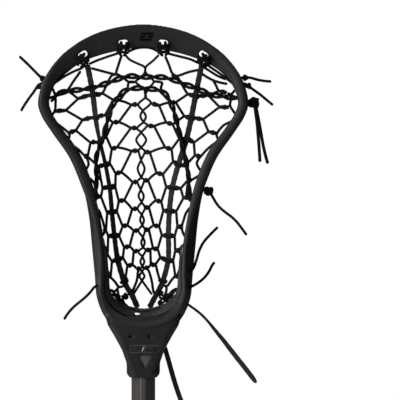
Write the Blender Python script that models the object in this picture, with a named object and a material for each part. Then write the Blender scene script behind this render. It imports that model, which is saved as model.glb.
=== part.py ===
"""A women's lacrosse stick: a moulded head strung with a pocket, on an octagonal metal shaft.

Metres, +Z up along the shaft, the head's open face towards -Y and +X to its right.
The origin is the centre of the butt end, where the lower hand holds the stick.
"""

import math

import bmesh
import bpy
import numpy as np
from mathutils import Matrix, Vector

MM = 0.001
GAP = 0.0003

# Shaft: an octagon with slightly hollow slanting flats, in a thin wall
SHAFT_WIDTH = 0.022
SHAFT_DEPTH = 0.024
SHAFT_FRONT_FLAT = 0.0046
SHAFT_SIDE_FLAT = 0.006
SHAFT_HOLLOW = 0.0006
SHAFT_WALL = 0.0014
SHAFT_STATIONS = [0.0065, 0.245, 0.275, 0.652, 0.668, 0.757, 0.803]
SHAFT_SCALES = [0.94, 0.94, 0.98, 0.98, 1.0, 1.0, 1.0]
SHAFT_FLUTES = [1.0, 1.0, 1.0, 1.0, 0.0, 0.0, 0.0]

# End cap: a rubber skirt over the tube and a plug inside it
CAP_HALF_WIDTH = 0.0155
CAP_FLOOR = 0.006
CAP_HEIGHT = 0.034
CAP_PLUG_HEIGHT = 0.028
CAP_BEVEL = 0.003

# Socket and throat: height, half width, half width of the front flat, front and back
THROAT = [
    (0.7576, 0.0126, 0.0064, -0.0138, 0.0138),
    (0.7612, 0.0153, 0.0080, -0.0162, 0.0162),
    (0.7710, 0.0155, 0.0125, -0.0164, 0.0164),
    (0.7830, 0.0197, 0.0175, -0.0166, 0.0166),
    (0.7960, 0.0268, 0.0220, -0.0166, 0.0166),
    (0.8060, 0.0328, 0.0280, -0.0166, 0.0166),
    (0.8150, 0.0355, 0.0310, -0.0166, 0.0166),
]
THROAT_SIDE = 0.008
SOCKET_TOP = 0.8055
SOCKET_BOTTOM = 0.75

# The rim's section, from the middle of the scoop to the middle of the throat, in millimetres:
# outer edge x and z, inner edge x and z, depth of the front lip, then how far in from the outer
# edge the lip, the groove behind it, the wall and the back lip lie, then the front lip's outer
# and inner y and the back lip's outer and inner y.
RIM = [
    (0.0, 1085.3, 0.0, 1063.6, 1.0, 0.0, 0.4, 1.0, 1.8, -14.0, -4.5, -10.0, 0.0),
    (39.5, 1078.5, 33.0, 1058.8, 1.0, 0.0, 0.4, 1.0, 1.8, -14.0, -4.5, -10.0, 0.0),
    (69.8, 1061.8, 61.0, 1048.6, 1.2, 0.0, 0.4, 1.0, 1.8, -13.5, -5.5, -8.0, 3.0),
    (89.2, 1039.6, 79.4, 1034.2, 2.4, 0.0, 2.0, 2.4, 1.6, -12.5, -8.0, 0.0, 8.0),
    (97.4, 1016.0, 87.8, 1015.6, 5.0, 0.0, 4.8, 4.8, 1.2, -11.5, -10.0, 12.0, 13.0),
    (94.6, 1000.8, 84.8, 1002.6, 6.0, 0.0, 6.0, 6.0, 1.0, -11.0, -10.0, 18.0, 18.0),
    (83.7, 983.6, 76.2, 989.2, 6.5, 0.0, 4.6, 4.6, 0.6, -10.5, -9.5, 22.0, 22.0),
    (68.4, 961.3, 60.2, 966.9, 6.5, 0.0, 5.4, 5.4, 0.4, -10.0, -9.0, 25.0, 25.0),
    (57.2, 935.0, 48.6, 939.0, 6.5, 0.0, 5.6, 5.2, 0.0, -10.5, -9.5, 27.0, 27.0),
    (51.4, 907.0, 41.2, 907.8, 6.5, 4.0, 6.4, 4.0, 0.0, -12.0, -11.0, 28.0, 28.0),
    (48.4, 877.6, 36.5, 877.6, 6.5, 7.6, 8.4, 3.0, 0.0, -14.0, -12.5, 28.0, 28.0),
    (46.0, 853.0, 34.2, 853.0, 6.5, 6.2, 7.4, 2.4, 0.0, -16.0, -14.5, 27.0, 27.0),
    (43.6, 830.0, 32.4, 838.0, 6.5, 4.8, 6.2, 2.0, 0.0, -17.2, -15.6, 25.0, 25.0),
    (35.0, 811.0, 27.0, 829.0, 6.0, 6.0, 7.4, 2.0, 0.0, -17.8, -16.0, 22.0, 22.0),
    (21.0, 800.5, 15.5, 822.8, 5.0, 7.0, 8.4, 2.0, 0.0, -18.0, -16.2, 19.0, 19.5),
    (0.0, 796.0, 0.0, 820.0, 5.0, 8.0, 9.4, 2.0, 0.0, -18.0, -16.2, 17.6, 18.0),
]
RIM_STATIONS_PER_ROW = 3

# Sidewall windows, as places along the rim in rows of RIM: start, end
WINDOWS = [(4.35, 5.35), (5.62, 6.55), (6.8, 7.65), (7.85, 8.35)]
WINDOW_EDGE = 0.0072
WINDOW_LEAN = 0.005

# Scoop slots: centre x and z, and the lean of each in degrees
SLOTS = [(0.0186, 1.0681, -7.0), (0.0560, 1.0573, -33.0)]
SLOT_WIDTH = 0.0085
SLOT_HEIGHT = 0.0056

THROAT_WINDOW = [(-0.0042, 0.7784), (0.0072, 0.7784), (0.0015, 0.7662)]

# Ball stop: a foam pad on the throat's inner wall, this thick, and where its edges lie in y
BALL_STOP_THICK = 0.0022
BALL_STOP_FRONT = -0.009
BALL_STOP_BACK = 0.012
BALL_STOP_BEVEL = 0.001

# Head screw through the back of the socket
SCREW_Z = 0.7835
SCREW_SHANK = 0.0018
SCREW_HEAD = 0.0040
SCREW_HEAD_DEPTH = 0.0022
SCREW_LENGTH = 0.0105

# The pocket: how far back the net lies at mid width and at the sidewalls, by height
NET_Z = [0.818, 0.826, 0.845, 0.870, 0.905, 0.950, 1.000, 1.035, 1.065]
NET_MIDDLE_Y = [0.0225, 0.0270, 0.0370, 0.0420, 0.0410, 0.0330, 0.0190, 0.0070, -0.0010]
NET_SIDE_Y = [0.0215, 0.0225, 0.0235, 0.0240, 0.0240, 0.0215, 0.0140, 0.0060, -0.0010]

STRING = 0.0018
RUNNER_WIDTH = 0.0047
RUNNER_THICK = 0.0016
RUNNER_LIFT = 0.0012
RUNNER_LEFT = [
    (-0.0515, 1.0435), (-0.0485, 1.0285), (-0.0462, 1.0120), (-0.0440, 0.9940),
    (-0.0407, 0.9753), (-0.0360, 0.9567), (-0.0319, 0.9325), (-0.0300, 0.9111),
    (-0.0277, 0.8888), (-0.0246, 0.8665), (-0.0182, 0.8451), (-0.0111, 0.8330),
    (-0.0062, 0.8228),
]
RUNNER_RIGHT = [
    (0.0530, 1.0435), (0.0505, 1.0285), (0.0473, 1.0135), (0.0437, 0.9960),
    (0.0392, 0.9765), (0.0328, 0.9567), (0.0267, 0.9339), (0.0239, 0.9111),
    (0.0230, 0.8888), (0.0230, 0.8665), (0.0174, 0.8451), (0.0114, 0.8330),
    (0.0062, 0.8228),
]
CENTRE_LINE = [(-0.0004, 1.0440), (-0.0018, 1.0200), (-0.0021, 0.9500), (-0.0021, 0.8700),
               (-0.0008, 0.8470)]
CENTRE_WIDTH = 0.0034
LACE_TOP = 1.018
LACE_BOTTOM = 0.850
LACE_PERIOD = 0.0236
LACE_POINTS = 8  # in each period
LACE_CLEAR = 0.0042
LACE_WALL_CLEAR = 0.0052
LACE_OUTER_BOTTOM = 0.862
SIDEWALL_TOP = 1.012
SIDEWALL_BOTTOM = 0.846
SIDEWALL_CLEAR = 0.0020
SIDEWALL_POINTS = 22

SHOOTER = 0.0030
UPPER_SHOOTER_LIFT = 0.0052
LOWER_SHOOTER_LIFT = 0.0088
UPPER_SHOOTER = [
    (-0.0835, 1.0178), (-0.0740, 1.0230), (-0.0486, 1.0264), (-0.0282, 1.0329),
    (-0.0150, 1.0372), (0.0002, 1.0368), (0.0155, 1.0366), (0.0286, 1.0338),
    (0.0518, 1.0251), (0.0658, 1.0202), (0.0840, 1.0176),
]
LOWER_SHOOTER = [
    (-0.0440, 0.9420), (-0.0436, 0.9650), (-0.0375, 0.9820), (-0.0325, 0.9994),
    (-0.0274, 1.0125), (-0.0225, 1.0195), (-0.0142, 1.0250), (-0.0012, 1.0264),
    (0.0150, 1.0242), (0.0220, 1.0190), (0.0272, 1.0087), (0.0313, 0.9948),
    (0.0360, 0.9743), (0.0400, 0.9580), (0.0418, 0.9420),
]
TOP_STRING = [
    (-0.0740, 1.0350), (-0.0561, 1.0440), (-0.0217, 1.0580), (0.0, 1.0605),
    (0.0190, 1.0580), (0.0540, 1.0440), (0.0740, 1.0350),
]
TOP_STRING_Y = -0.0030
TOP_STRING_BOW = (0.25, 1.4)  # it goes back by the first, times x to the power of the second
BOTTOM_STRING = [(0.0290, 0.8415), (0.0265, 0.8370), (0.0215, 0.8325), (0.0160, 0.8275)]
BOTTOM_STRING_LIFT = 0.002

# Knots: name, centre and radius
TOP_KNOTS = [("top_knot_1", -0.0556, 1.0520), ("top_knot_2", -0.0186, 1.0650),
             ("top_knot_3", 0.0186, 1.0650), ("top_knot_4", 0.0560, 1.0520)]
TOP_KNOT_RADIUS = 0.0044
TOP_KNOT_Y = -0.0125
RIM_KNOTS = [
    ("knot_left_upper", (-0.0950, 0.0010, 1.0362), 0.0026),
    ("knot_left_lower", (-0.0982, 0.0010, 1.0284), 0.0026),
    ("knot_right_upper", (0.0950, 0.0010, 1.0362), 0.0026),
    ("knot_right_lower", (0.0982, 0.0010, 1.0284), 0.0026),
    ("knot_right_large", (0.1036, 0.0010, 1.0125), 0.0050),
    ("knot_right_middle", (0.0612, 0.0060, 0.9306), 0.0044),
]

# Free ends of the strings, each from its knot or hole to its cut end
TAIL = 0.0023
LARGE_TAIL = 0.0028
THONG = 0.0047
TAILS = {
    "tail_left_upper": (TAIL, [
        (-0.0975, 0.0010, 1.0385), (-0.0995, 0.0010, 1.0405), (-0.1018, 0.0012, 1.0428),
        (-0.1042, 0.0016, 1.0453), (-0.1067, 0.0022, 1.0478), (-0.1094, 0.0028, 1.0504),
        (-0.1124, 0.0034, 1.0532), (-0.1156, 0.0040, 1.0562),
    ]),
    "tail_left_lower": (TAIL, [
        (-0.1002, 0.0010, 1.0255), (-0.1020, 0.0010, 1.0228), (-0.1040, 0.0012, 1.0201),
        (-0.1062, 0.0016, 1.0172), (-0.1084, 0.0020, 1.0141), (-0.1107, 0.0026, 1.0107),
        (-0.1126, 0.0032, 1.0076), (-0.1140, 0.0038, 1.0050),
    ]),
    "tail_right_upper": (TAIL, [
        (0.0982, 0.0010, 1.0362), (0.1006, 0.0010, 1.0358), (0.1034, 0.0012, 1.0350),
        (0.1063, 0.0016, 1.0342), (0.1094, 0.0020, 1.0336), (0.1127, 0.0024, 1.0331),
        (0.1160, 0.0028, 1.0328), (0.1192, 0.0032, 1.0326),
    ]),
    "tail_right_lower": (TAIL, [
        (0.1006, 0.0010, 1.0262), (0.1028, 0.0010, 1.0246), (0.1054, 0.0012, 1.0228),
        (0.1083, 0.0016, 1.0207), (0.1113, 0.0020, 1.0183), (0.1144, 0.0024, 1.0157),
        (0.1176, 0.0028, 1.0131), (0.1208, 0.0032, 1.0106),
    ]),
    "tail_large_front": (LARGE_TAIL, [
        (0.1040, -0.0008, 1.0068), (0.1046, -0.0012, 1.0025), (0.1052, -0.0015, 0.9980),
        (0.1058, -0.0018, 0.9930), (0.1063, -0.0020, 0.9875), (0.1068, -0.0022, 0.9815),
        (0.1073, -0.0023, 0.9755), (0.1077, -0.0024, 0.9695), (0.1081, -0.0024, 0.9635),
        (0.1084, -0.0024, 0.9575),
    ]),
    "tail_large_back": (LARGE_TAIL, [
        (0.1052, 0.0034, 1.0070), (0.1062, 0.0038, 1.0022), (0.1072, 0.0042, 0.9972),
        (0.1083, 0.0045, 0.9915), (0.1094, 0.0048, 0.9852), (0.1105, 0.0050, 0.9788),
        (0.1117, 0.0052, 0.9724), (0.1131, 0.0053, 0.9662), (0.1146, 0.0054, 0.9605),
        (0.1160, 0.0054, 0.9560),
    ]),
    "tail_right_middle": (TAIL, [
        (0.0640, 0.0060, 0.9260), (0.0656, 0.0062, 0.9232), (0.0676, 0.0066, 0.9198),
        (0.0700, 0.0070, 0.9166), (0.0730, 0.0075, 0.9136), (0.0764, 0.0080, 0.9108),
        (0.0800, 0.0086, 0.9082), (0.0837, 0.0092, 0.9052), (0.0872, 0.0098, 0.9016),
        (0.0905, 0.0104, 0.8974), (0.0936, 0.0110, 0.8932), (0.0964, 0.0116, 0.8894),
    ]),
    "tail_right_lower_rail": (TAIL, [
        (0.0492, 0.0150, 0.8640), (0.0498, 0.0152, 0.8676), (0.0508, 0.0156, 0.8714),
        (0.0521, 0.0160, 0.8752), (0.0538, 0.0166, 0.8790), (0.0559, 0.0172, 0.8826),
        (0.0586, 0.0178, 0.8860), (0.0617, 0.0184, 0.8893), (0.0653, 0.0190, 0.8930),
        (0.0695, 0.0196, 0.8971),
    ]),
    "tail_right_throat": (TAIL, [
        (0.0468, 0.0150, 0.8425), (0.0498, 0.0152, 0.8442), (0.0532, 0.0156, 0.8466),
        (0.0564, 0.0160, 0.8494), (0.0592, 0.0165, 0.8526), (0.0615, 0.0170, 0.8562),
        (0.0632, 0.0176, 0.8596), (0.0648, 0.0182, 0.8622), (0.0666, 0.0188, 0.8642),
    ]),
    "tail_left_throat": (TAIL, [
        (-0.0464, 0.0150, 0.8405), (-0.0490, 0.0152, 0.8372), (-0.0520, 0.0156, 0.8338),
        (-0.0553, 0.0160, 0.8307), (-0.0588, 0.0166, 0.8278), (-0.0624, 0.0172, 0.8249),
        (-0.0660, 0.0178, 0.8217), (-0.0694, 0.0184, 0.8180), (-0.0724, 0.0190, 0.8140),
        (-0.0745, 0.0196, 0.8104),
    ]),
    "tail_runner_right": (THONG, [
        (0.0442, 0.0190, 0.8226), (0.0462, 0.0192, 0.8212), (0.0490, 0.0195, 0.8192),
        (0.0532, 0.0198, 0.8158), (0.0574, 0.0200, 0.8117), (0.0617, 0.0203, 0.8068),
        (0.0660, 0.0206, 0.8015), (0.0704, 0.0209, 0.7961), (0.0748, 0.0212, 0.7907),
        (0.0791, 0.0215, 0.7851), (0.0834, 0.0218, 0.7796), (0.0877, 0.0221, 0.7740),
        (0.0921, 0.0224, 0.7685), (0.0966, 0.0227, 0.7627), (0.1012, 0.0230, 0.7567),
        (0.1056, 0.0233, 0.7508),
    ]),
    "thong_throat": (THONG, [
        (0.0150, 0.0205, 0.7970), (0.0183, 0.0205, 0.7880), (0.0212, 0.0206, 0.7790),
        (0.0241, 0.0206, 0.7690), (0.0270, 0.0207, 0.7585), (0.0302, 0.0207, 0.7480),
        (0.0340, 0.0208, 0.7370), (0.0382, 0.0208, 0.7258), (0.0424, 0.0208, 0.7140),
        (0.0464, 0.0208, 0.7015), (0.0500, 0.0208, 0.6885), (0.0530, 0.0208, 0.6755),
        (0.0556, 0.0208, 0.6620), (0.0580, 0.0208, 0.6480), (0.0600, 0.0208, 0.6340),
        (0.0616, 0.0208, 0.6200), (0.0628, 0.0208, 0.6060), (0.0636, 0.0208, 0.5930),
    ]),
}
TAIL_POINT_SPACING = 2.5  # in widths

NYLON = ("head_nylon", (0.018, 0.018, 0.019), 0.42, 0.0)
METAL = ("shaft_metal", (0.030, 0.027, 0.026), 0.38, 0.6)
RUBBER = ("cap_rubber", (0.015, 0.015, 0.015), 0.75, 0.0)
FOAM = ("ball_stop_foam", (0.030, 0.030, 0.031), 0.90, 0.0)
CORD = ("string_cord", (0.006, 0.006, 0.006), 0.80, 0.0)
LEATHER = ("runner_thong", (0.035, 0.035, 0.037), 0.75, 0.0)
STEEL = ("screw_steel", (0.20, 0.20, 0.21), 0.35, 1.0)


def clear_scene():
    for obj in list(bpy.data.objects):
        bpy.data.objects.remove(obj)


def material(finish):
    name, colour, roughness, metallic = finish
    made = bpy.data.materials.get(name)
    if made:
        return made
    made = bpy.data.materials.new(name)
    made.use_nodes = True
    shader = made.node_tree.nodes["Principled BSDF"]
    shader.inputs["Base Color"].default_value = (*colour, 1.0)
    shader.inputs["Roughness"].default_value = roughness
    shader.inputs["Metallic"].default_value = metallic
    return made


def add_object(name, data, finish=None):
    obj = bpy.data.objects.new(name, data)
    bpy.context.scene.collection.objects.link(obj)
    if finish:
        data.materials.append(material(finish))
    return obj


def as_cutter(obj):
    obj.hide_render = True
    obj.display_type = "WIRE"
    return obj


def cut(obj, cutter, operation="DIFFERENCE"):
    boolean = obj.modifiers.new(cutter.name, "BOOLEAN")
    boolean.object = as_cutter(cutter)
    boolean.operation = operation
    boolean.solver = "EXACT"


def smooth_rows(rows, count, closed_ends=False):
    """Catmull-Rom through the rows, with count steps between each two. Ends mirror in x."""
    rows = np.array(rows, float)
    before, after = 2 * rows[0] - rows[1], 2 * rows[-1] - rows[-2]
    if closed_ends:
        before, after = rows[1].copy(), rows[-2].copy()
        for row in (before, after):
            row[[0, 2]] *= -1
    padded = np.vstack([before, rows, after])
    found = []
    for i in range(len(rows) - 1):
        a, b, c, d = padded[i : i + 4]
        for t in np.arange(count) / count:
            cubic = 2 * b + (c - a) * t + (2 * a - 5 * b + 4 * c - d) * t**2
            found.append(0.5 * (cubic + (3 * b - a - 3 * c + d) * t**3))
    found.append(rows[-1])
    return np.array(found)


def along(points, spacing):
    """Points this far apart on a smooth curve through the given ones."""
    fine = smooth_rows(points, 12)
    run = np.concatenate([[0], np.cumsum(np.linalg.norm(np.diff(fine, axis=0), axis=1))])
    steps = np.linspace(0, run[-1], max(3, round(run[-1] / spacing) + 1))
    return np.stack([np.interp(steps, run, axis) for axis in fine.T], axis=1)


def loft(rings, close=False):
    """A mesh through rings of equally many points, capped at both ends unless it closes."""
    made = bmesh.new()
    grid = [[made.verts.new(Vector(p)) for p in ring] for ring in rings]
    count = len(grid[0])
    pairs = list(zip(grid, grid[1:]))
    if close:
        pairs.append((grid[-1], grid[0]))
    for lower, upper in pairs:
        for i in range(count):
            j = (i + 1) % count
            made.faces.new((lower[i], lower[j], upper[j], upper[i]))
    if not close:
        made.faces.new(list(reversed(grid[0])))
        made.faces.new(grid[-1])
    bmesh.ops.recalc_face_normals(made, faces=made.faces)
    return made


def finished(made, name, finish=None, sharp=35.0):
    mesh = bpy.data.meshes.new(name)
    made.to_mesh(mesh)
    made.free()
    mesh.shade_smooth()
    mesh.set_sharp_from_angle(angle=math.radians(sharp))
    return add_object(name, mesh, finish)


def prism(made, outline, low, high, axis):
    """Adds a prism to a bmesh: the outline's points, moved along axis from low to high."""
    ends = [[made.verts.new(Vector(p) + axis * s) for p in outline] for s in (low, high)]
    count = len(outline)
    sides = [(ends[0][i], ends[0][(i + 1) % count], ends[1][(i + 1) % count], ends[1][i])
             for i in range(count)]
    faces = [made.faces.new(side) for side in sides]
    faces += [made.faces.new(ends[0][::-1]), made.faces.new(ends[1])]
    bmesh.ops.recalc_face_normals(made, faces=faces)


# ---- shaft and end cap


def shaft_ring(z, scale=1.0, grow=0.0, flute=0.0):
    """The shaft's octagon at a height, with each slanting flat's middle drawn in by the flute."""
    half_w, half_d = SHAFT_WIDTH / 2 * scale, SHAFT_DEPTH / 2 * scale
    flat, side = SHAFT_FRONT_FLAT / 2 * scale, SHAFT_SIDE_FLAT / 2 * scale
    quarter = [(flat, -half_d), ((flat + half_w) / 2, -(half_d + side) / 2), (half_w, -side)]
    slant = Vector((half_d - side, -(half_w - flat), 0)).normalized()
    quarter[1] = (quarter[1][0] - slant.x * SHAFT_HOLLOW * flute,
                  quarter[1][1] - slant.y * SHAFT_HOLLOW * flute)
    points = quarter + [(x, -y) for x, y in quarter[::-1]]
    points += [(-x, -y) for x, y in quarter] + [(-x, y) for x, y in quarter[::-1]]
    ring = []
    for x, y in points:
        reach = 1 + grow / math.hypot(x, y)
        ring.append((x * reach, y * reach, z))
    return ring


def build_shaft():
    outer = [shaft_ring(z, s, 0, f)
             for z, s, f in zip(SHAFT_STATIONS, SHAFT_SCALES, SHAFT_FLUTES)]
    inner = [shaft_ring(z, s, -SHAFT_WALL, f)
             for z, s, f in zip(SHAFT_STATIONS, SHAFT_SCALES, SHAFT_FLUTES)]
    tube = loft(outer + inner[::-1], close=True)
    shaft = finished(tube, "shaft", METAL, sharp=15.0)
    hole = bmesh.new()
    ring = [(SCREW_SHANK + GAP) * Vector((math.cos(a), 0, math.sin(a)))
            + Vector((0, 0, SCREW_Z)) for a in np.linspace(0, 2 * math.pi, 12, endpoint=False)]
    prism(hole, ring, 0.006, 0.016, Vector((0, 1, 0)))
    cut(shaft, finished(hole, "shaft_screw_hole_cutter"))


def build_end_cap():
    """One skin, from the middle of the foot up the skirt, down into the groove and up the plug."""
    scale = SHAFT_SCALES[0]
    bore = -SHAFT_WALL - GAP

    def skirt(z, inset=0.0):
        ring = []
        for x, y, _ in shaft_ring(z, scale):
            reach = math.hypot(x, y)
            half = 0.5 * (CAP_HALF_WIDTH - inset) + 0.5 * (reach + 0.003 - inset)
            ring.append((x / reach * half, y / reach * half, z))
        return ring

    rings = [
        skirt(0.0, CAP_BEVEL),
        skirt(CAP_BEVEL),
        skirt(CAP_HEIGHT - 0.001),
        skirt(CAP_HEIGHT, 0.001),
        shaft_ring(CAP_HEIGHT, scale, GAP, SHAFT_FLUTES[0]),
        shaft_ring(CAP_FLOOR, scale, GAP, SHAFT_FLUTES[0]),
        shaft_ring(CAP_FLOOR, scale, bore, SHAFT_FLUTES[0]),
        shaft_ring(CAP_PLUG_HEIGHT, scale, bore, SHAFT_FLUTES[0]),
    ]
    finished(loft(rings), "end_cap", RUBBER)


def build_screw():
    """Head sunk in the back of the socket, shank through the tube's back wall."""
    back = THROAT[2][4]
    rows = [(back - 0.0006, SCREW_HEAD * 0.9), (back - 0.0010, SCREW_HEAD),
            (back - SCREW_HEAD_DEPTH, SCREW_HEAD), (back - SCREW_HEAD_DEPTH, SCREW_SHANK),
            (back - SCREW_LENGTH, SCREW_SHANK)]
    angles = np.linspace(0, 2 * math.pi, 16, endpoint=False)
    rings = [[(r * math.cos(a), y, SCREW_Z + r * math.sin(a)) for a in angles] for y, r in rows]
    finished(loft(rings), "head_screw", STEEL)


# ---- head frame


def rim_sections():
    """The rim's row at each station, from the scoop's middle to the throat's, in metres."""
    return smooth_rows(RIM, RIM_STATIONS_PER_ROW, closed_ends=True) * MM


def rim_ring(row, side):
    """Eight corners of the rim's section on one side of the head."""
    outer, inner = row[[0, 1]], row[[2, 3]]
    lip, lip_in, groove_in, wall_in, back_in = row[4:9]
    front_out, front_in, back_out, back_inner = row[9:13]
    inward = (inner - outer) / np.linalg.norm(inner - outer)
    step = 0.15 * (back_out - front_out - 2 * lip)
    corners = [
        (inner, front_in),
        (outer + inward * lip_in, front_out),
        (outer + inward * lip_in, front_out + lip),
        (outer + inward * groove_in, front_out + lip + step),
        (outer + inward * wall_in, back_out - lip - step),
        (outer + inward * back_in, back_out - lip),
        (outer + inward * back_in, back_out),
        (inner, back_inner),
    ]
    return [(side * x, y, z) for (x, z), y in corners]


def build_rim():
    rows = rim_sections()
    right = [rim_ring(row, 1) for row in rows]
    left = [rim_ring(row, -1) for row in rows[-2:0:-1]]
    return loft(right + left, close=True)


def throat_ring(z, half, flat, front, back):
    right = [(flat, front), (half, -THROAT_SIDE), (half, THROAT_SIDE), (flat, back)]
    return [(x, y, z) for x, y in right + [(-x, y) for x, y in right[::-1]]]


def window_cutters():
    """Leaning prisms through both sidewalls, between the front and back lips."""
    rows = smooth_rows(RIM, 20, closed_ends=True) * MM
    made = bmesh.new()
    for start, end in WINDOWS:
        first, last = rows[round(start * 20)], rows[round(end * 20)]
        outer = [(first[:2]), (last[:2])]
        front = [row[9] + WINDOW_EDGE for row in (first, last)]
        back = [row[11] - WINDOW_EDGE for row in (first, last)]
        tangent = (outer[1] - outer[0]) / np.linalg.norm(outer[1] - outer[0])
        lean = tangent * WINDOW_LEAN
        for side in (1, -1):
            outline = [
                (outer[0], front[0]), (outer[1] - lean, front[1]),
                (outer[1], back[1]), (outer[0] + lean, back[0]),
            ]
            corners = [(side * x, y, z) for (x, z), y in outline]
            across = Vector((side * tangent[1], 0, -tangent[0]))
            prism(made, corners, -0.020, 0.020, across)
    return finished(made, "window_cutters")


def slot_outline():
    """A rounded rectangle about the origin, between an ellipse and a square-cornered one."""
    outline = []
    for angle in np.linspace(0, 2 * math.pi, 16, endpoint=False):
        across, up = math.cos(angle), math.sin(angle)
        across = math.copysign(math.sqrt(abs(across)), across)
        up = math.copysign(math.sqrt(abs(up)), up)
        outline.append(Vector((across * SLOT_WIDTH / 2, 0, up * SLOT_HEIGHT / 2)))
    return outline


def slot_cutters():
    """Rounded slots through the scoop for the top knots."""
    made = bmesh.new()
    for x, z, lean in SLOTS:
        for side in (1, -1):
            turn = Matrix.Rotation(math.radians(-lean * side), 4, "Y")
            middle = Vector((side * x, 0, z))
            outline = [turn @ corner + middle for corner in slot_outline()]
            prism(made, outline, -0.03, 0.02, Vector((0, 1, 0)))
    return finished(made, "slot_cutters")


def socket_cutter():
    return finished(loft([shaft_ring(SOCKET_BOTTOM, 1, GAP), shaft_ring(SOCKET_TOP, 1, GAP)]),
                    "socket_cutter")


def throat_window_cutter():
    made = bmesh.new()
    prism(made, [(x, 0, z) for x, z in THROAT_WINDOW], -0.025, -0.006, Vector((0, 1, 0)))
    return finished(made, "throat_window_cutter")


def screw_cutter():
    back = THROAT[2][4]
    rows = [(back + 0.004, SCREW_HEAD + GAP), (back - SCREW_HEAD_DEPTH - GAP, SCREW_HEAD + GAP),
            (back - SCREW_HEAD_DEPTH - GAP, SCREW_SHANK + GAP), (0.0065, SCREW_SHANK + GAP)]
    angles = np.linspace(0, 2 * math.pi, 16, endpoint=False)
    rings = [[(r * math.cos(a), y, SCREW_Z + r * math.sin(a)) for a in angles] for y, r in rows]
    return finished(loft(rings), "screw_cutter")


def build_head_frame():
    frame = finished(build_rim(), "head_frame", NYLON)
    throat = finished(loft([throat_ring(*row) for row in THROAT]), "throat_block")
    cut(frame, throat, "UNION")
    for cutter in (socket_cutter(), window_cutters(), slot_cutters(), throat_window_cutter(),
                   screw_cutter()):
        cut(frame, cutter)


def build_ball_stop():
    """A thin foam pad on the throat's inner wall, where the ball comes to rest."""
    rows = smooth_rows(RIM, 6, closed_ends=True) * MM
    picked = rows[-11:]
    rows = np.vstack([picked, picked[-2::-1]])
    sides = [1] * len(picked) + [-1] * (len(picked) - 1)
    front, back = BALL_STOP_FRONT + BALL_STOP_BEVEL, BALL_STOP_BACK - BALL_STOP_BEVEL
    rings = []
    for row, side in zip(rows, sides):
        outer, inner = row[[0, 1]], row[[2, 3]]
        inward = (inner - outer) / np.linalg.norm(inner - outer)
        base, top = inner + inward * GAP * 1.5, inner + inward * BALL_STOP_THICK
        ring = [(base, BALL_STOP_FRONT), (top, front), (top, back), (base, BALL_STOP_BACK)]
        rings.append([(side * x, y, z) for (x, z), y in ring])
    finished(loft(rings), "ball_stop_pad", FOAM)


# ---- stringing


def inner_half_width(z):
    rows = rim_sections()
    side = rows[rows[:, 3] > 0.8205]
    order = np.argsort(side[:, 3])
    return float(np.interp(z, side[order, 3], side[order, 2]))


def net_y(x, z):
    """How far back the pocket lies: deepest at mid width, at the sidewall's height at its edge."""
    middle, edge = np.interp(z, NET_Z, NET_MIDDLE_Y), np.interp(z, NET_Z, NET_SIDE_Y)
    across = min(1.0, abs(x) / inner_half_width(z))
    return float(middle + (edge - middle) * across**2)


def on_net(points, lift=0.0):
    return [(x, net_y(x, z) - lift, z) for x, z in points]


def tube(name, points, width, finish, resolution=1):
    """A round string as a curve with a bevel, on a straight-sided spline."""
    curve = bpy.data.curves.new(name, "CURVE")
    curve.dimensions = "3D"
    curve.bevel_depth = width / 2
    curve.bevel_resolution = resolution
    curve.use_fill_caps = True
    spline = curve.splines.new("POLY")
    spline.points.add(len(points) - 1)
    for knot, place in zip(spline.points, points):
        knot.co = (*place, 1.0)
    return add_object(name, curve, finish)


def strap(name, points, width, thick, finish):
    """A flat thong, its width across its run and its thickness along y."""
    points = [Vector(p) for p in points]
    rings = []
    for i, here in enumerate(points):
        run = (points[min(i + 1, len(points) - 1)] - points[max(i - 1, 0)]).normalized()
        across = run.cross(Vector((0, 1, 0))).normalized() * width / 2
        deep = across.cross(run).normalized() * thick / 2
        rings.append([here + across + deep, here + across - deep,
                      here - across - deep, here - across + deep])
    return finished(loft(rings), name, finish)


def build_runners():
    for name, line in (("runner_left", RUNNER_LEFT), ("runner_right", RUNNER_RIGHT)):
        strap(name, on_net(line, RUNNER_LIFT), RUNNER_WIDTH, RUNNER_THICK, LEATHER)


def build_centre_strings():
    line = along(on_net(CENTRE_LINE), 0.012)
    flat = [(x, net_y(x, z), z) for x, _, z in line]
    strap("centre_strings", flat, CENTRE_WIDTH, STRING, CORD)


def line_x(line, z):
    """The x of a run of strings at a height."""
    points = sorted(line, key=lambda p: p[1])
    return float(np.interp(z, [p[1] for p in points], [p[0] for p in points]))


def lace(name, low_edge, high_edge, top, bottom):
    """A wavy string between two edges, each a function of the height."""
    count = round((top - bottom) / LACE_PERIOD * LACE_POINTS)
    points = []
    for i in range(count + 1):
        z = top + (bottom - top) * i / count
        share = 0.5 - 0.5 * math.cos(2 * math.pi * i / LACE_POINTS)
        x = low_edge(z) + (high_edge(z) - low_edge(z)) * share
        points.append((x, net_y(x, z), z))
    tube(name, points, STRING, CORD)


def build_lace():
    for side, name, runner in ((-1, "left", RUNNER_LEFT), (1, "right", RUNNER_RIGHT)):
        clear = side * LACE_CLEAR
        lace("lace_inner_" + name, lambda z: line_x(CENTRE_LINE, z) + clear,
             lambda z: line_x(runner, z) - clear, LACE_TOP, LACE_BOTTOM)
        lace("lace_outer_" + name, lambda z: line_x(runner, z) + clear,
             lambda z: side * (inner_half_width(z) - LACE_WALL_CLEAR),
             LACE_TOP, LACE_OUTER_BOTTOM)


def build_sidewall_strings():
    for name, side in (("sidewall_string_left", -1), ("sidewall_string_right", 1)):
        heights = np.linspace(SIDEWALL_TOP, SIDEWALL_BOTTOM, SIDEWALL_POINTS)
        points = [(side * (inner_half_width(z) - SIDEWALL_CLEAR),
                   np.interp(z, NET_Z, NET_SIDE_Y), z) for z in heights]
        tube(name, points, STRING, CORD)


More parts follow.
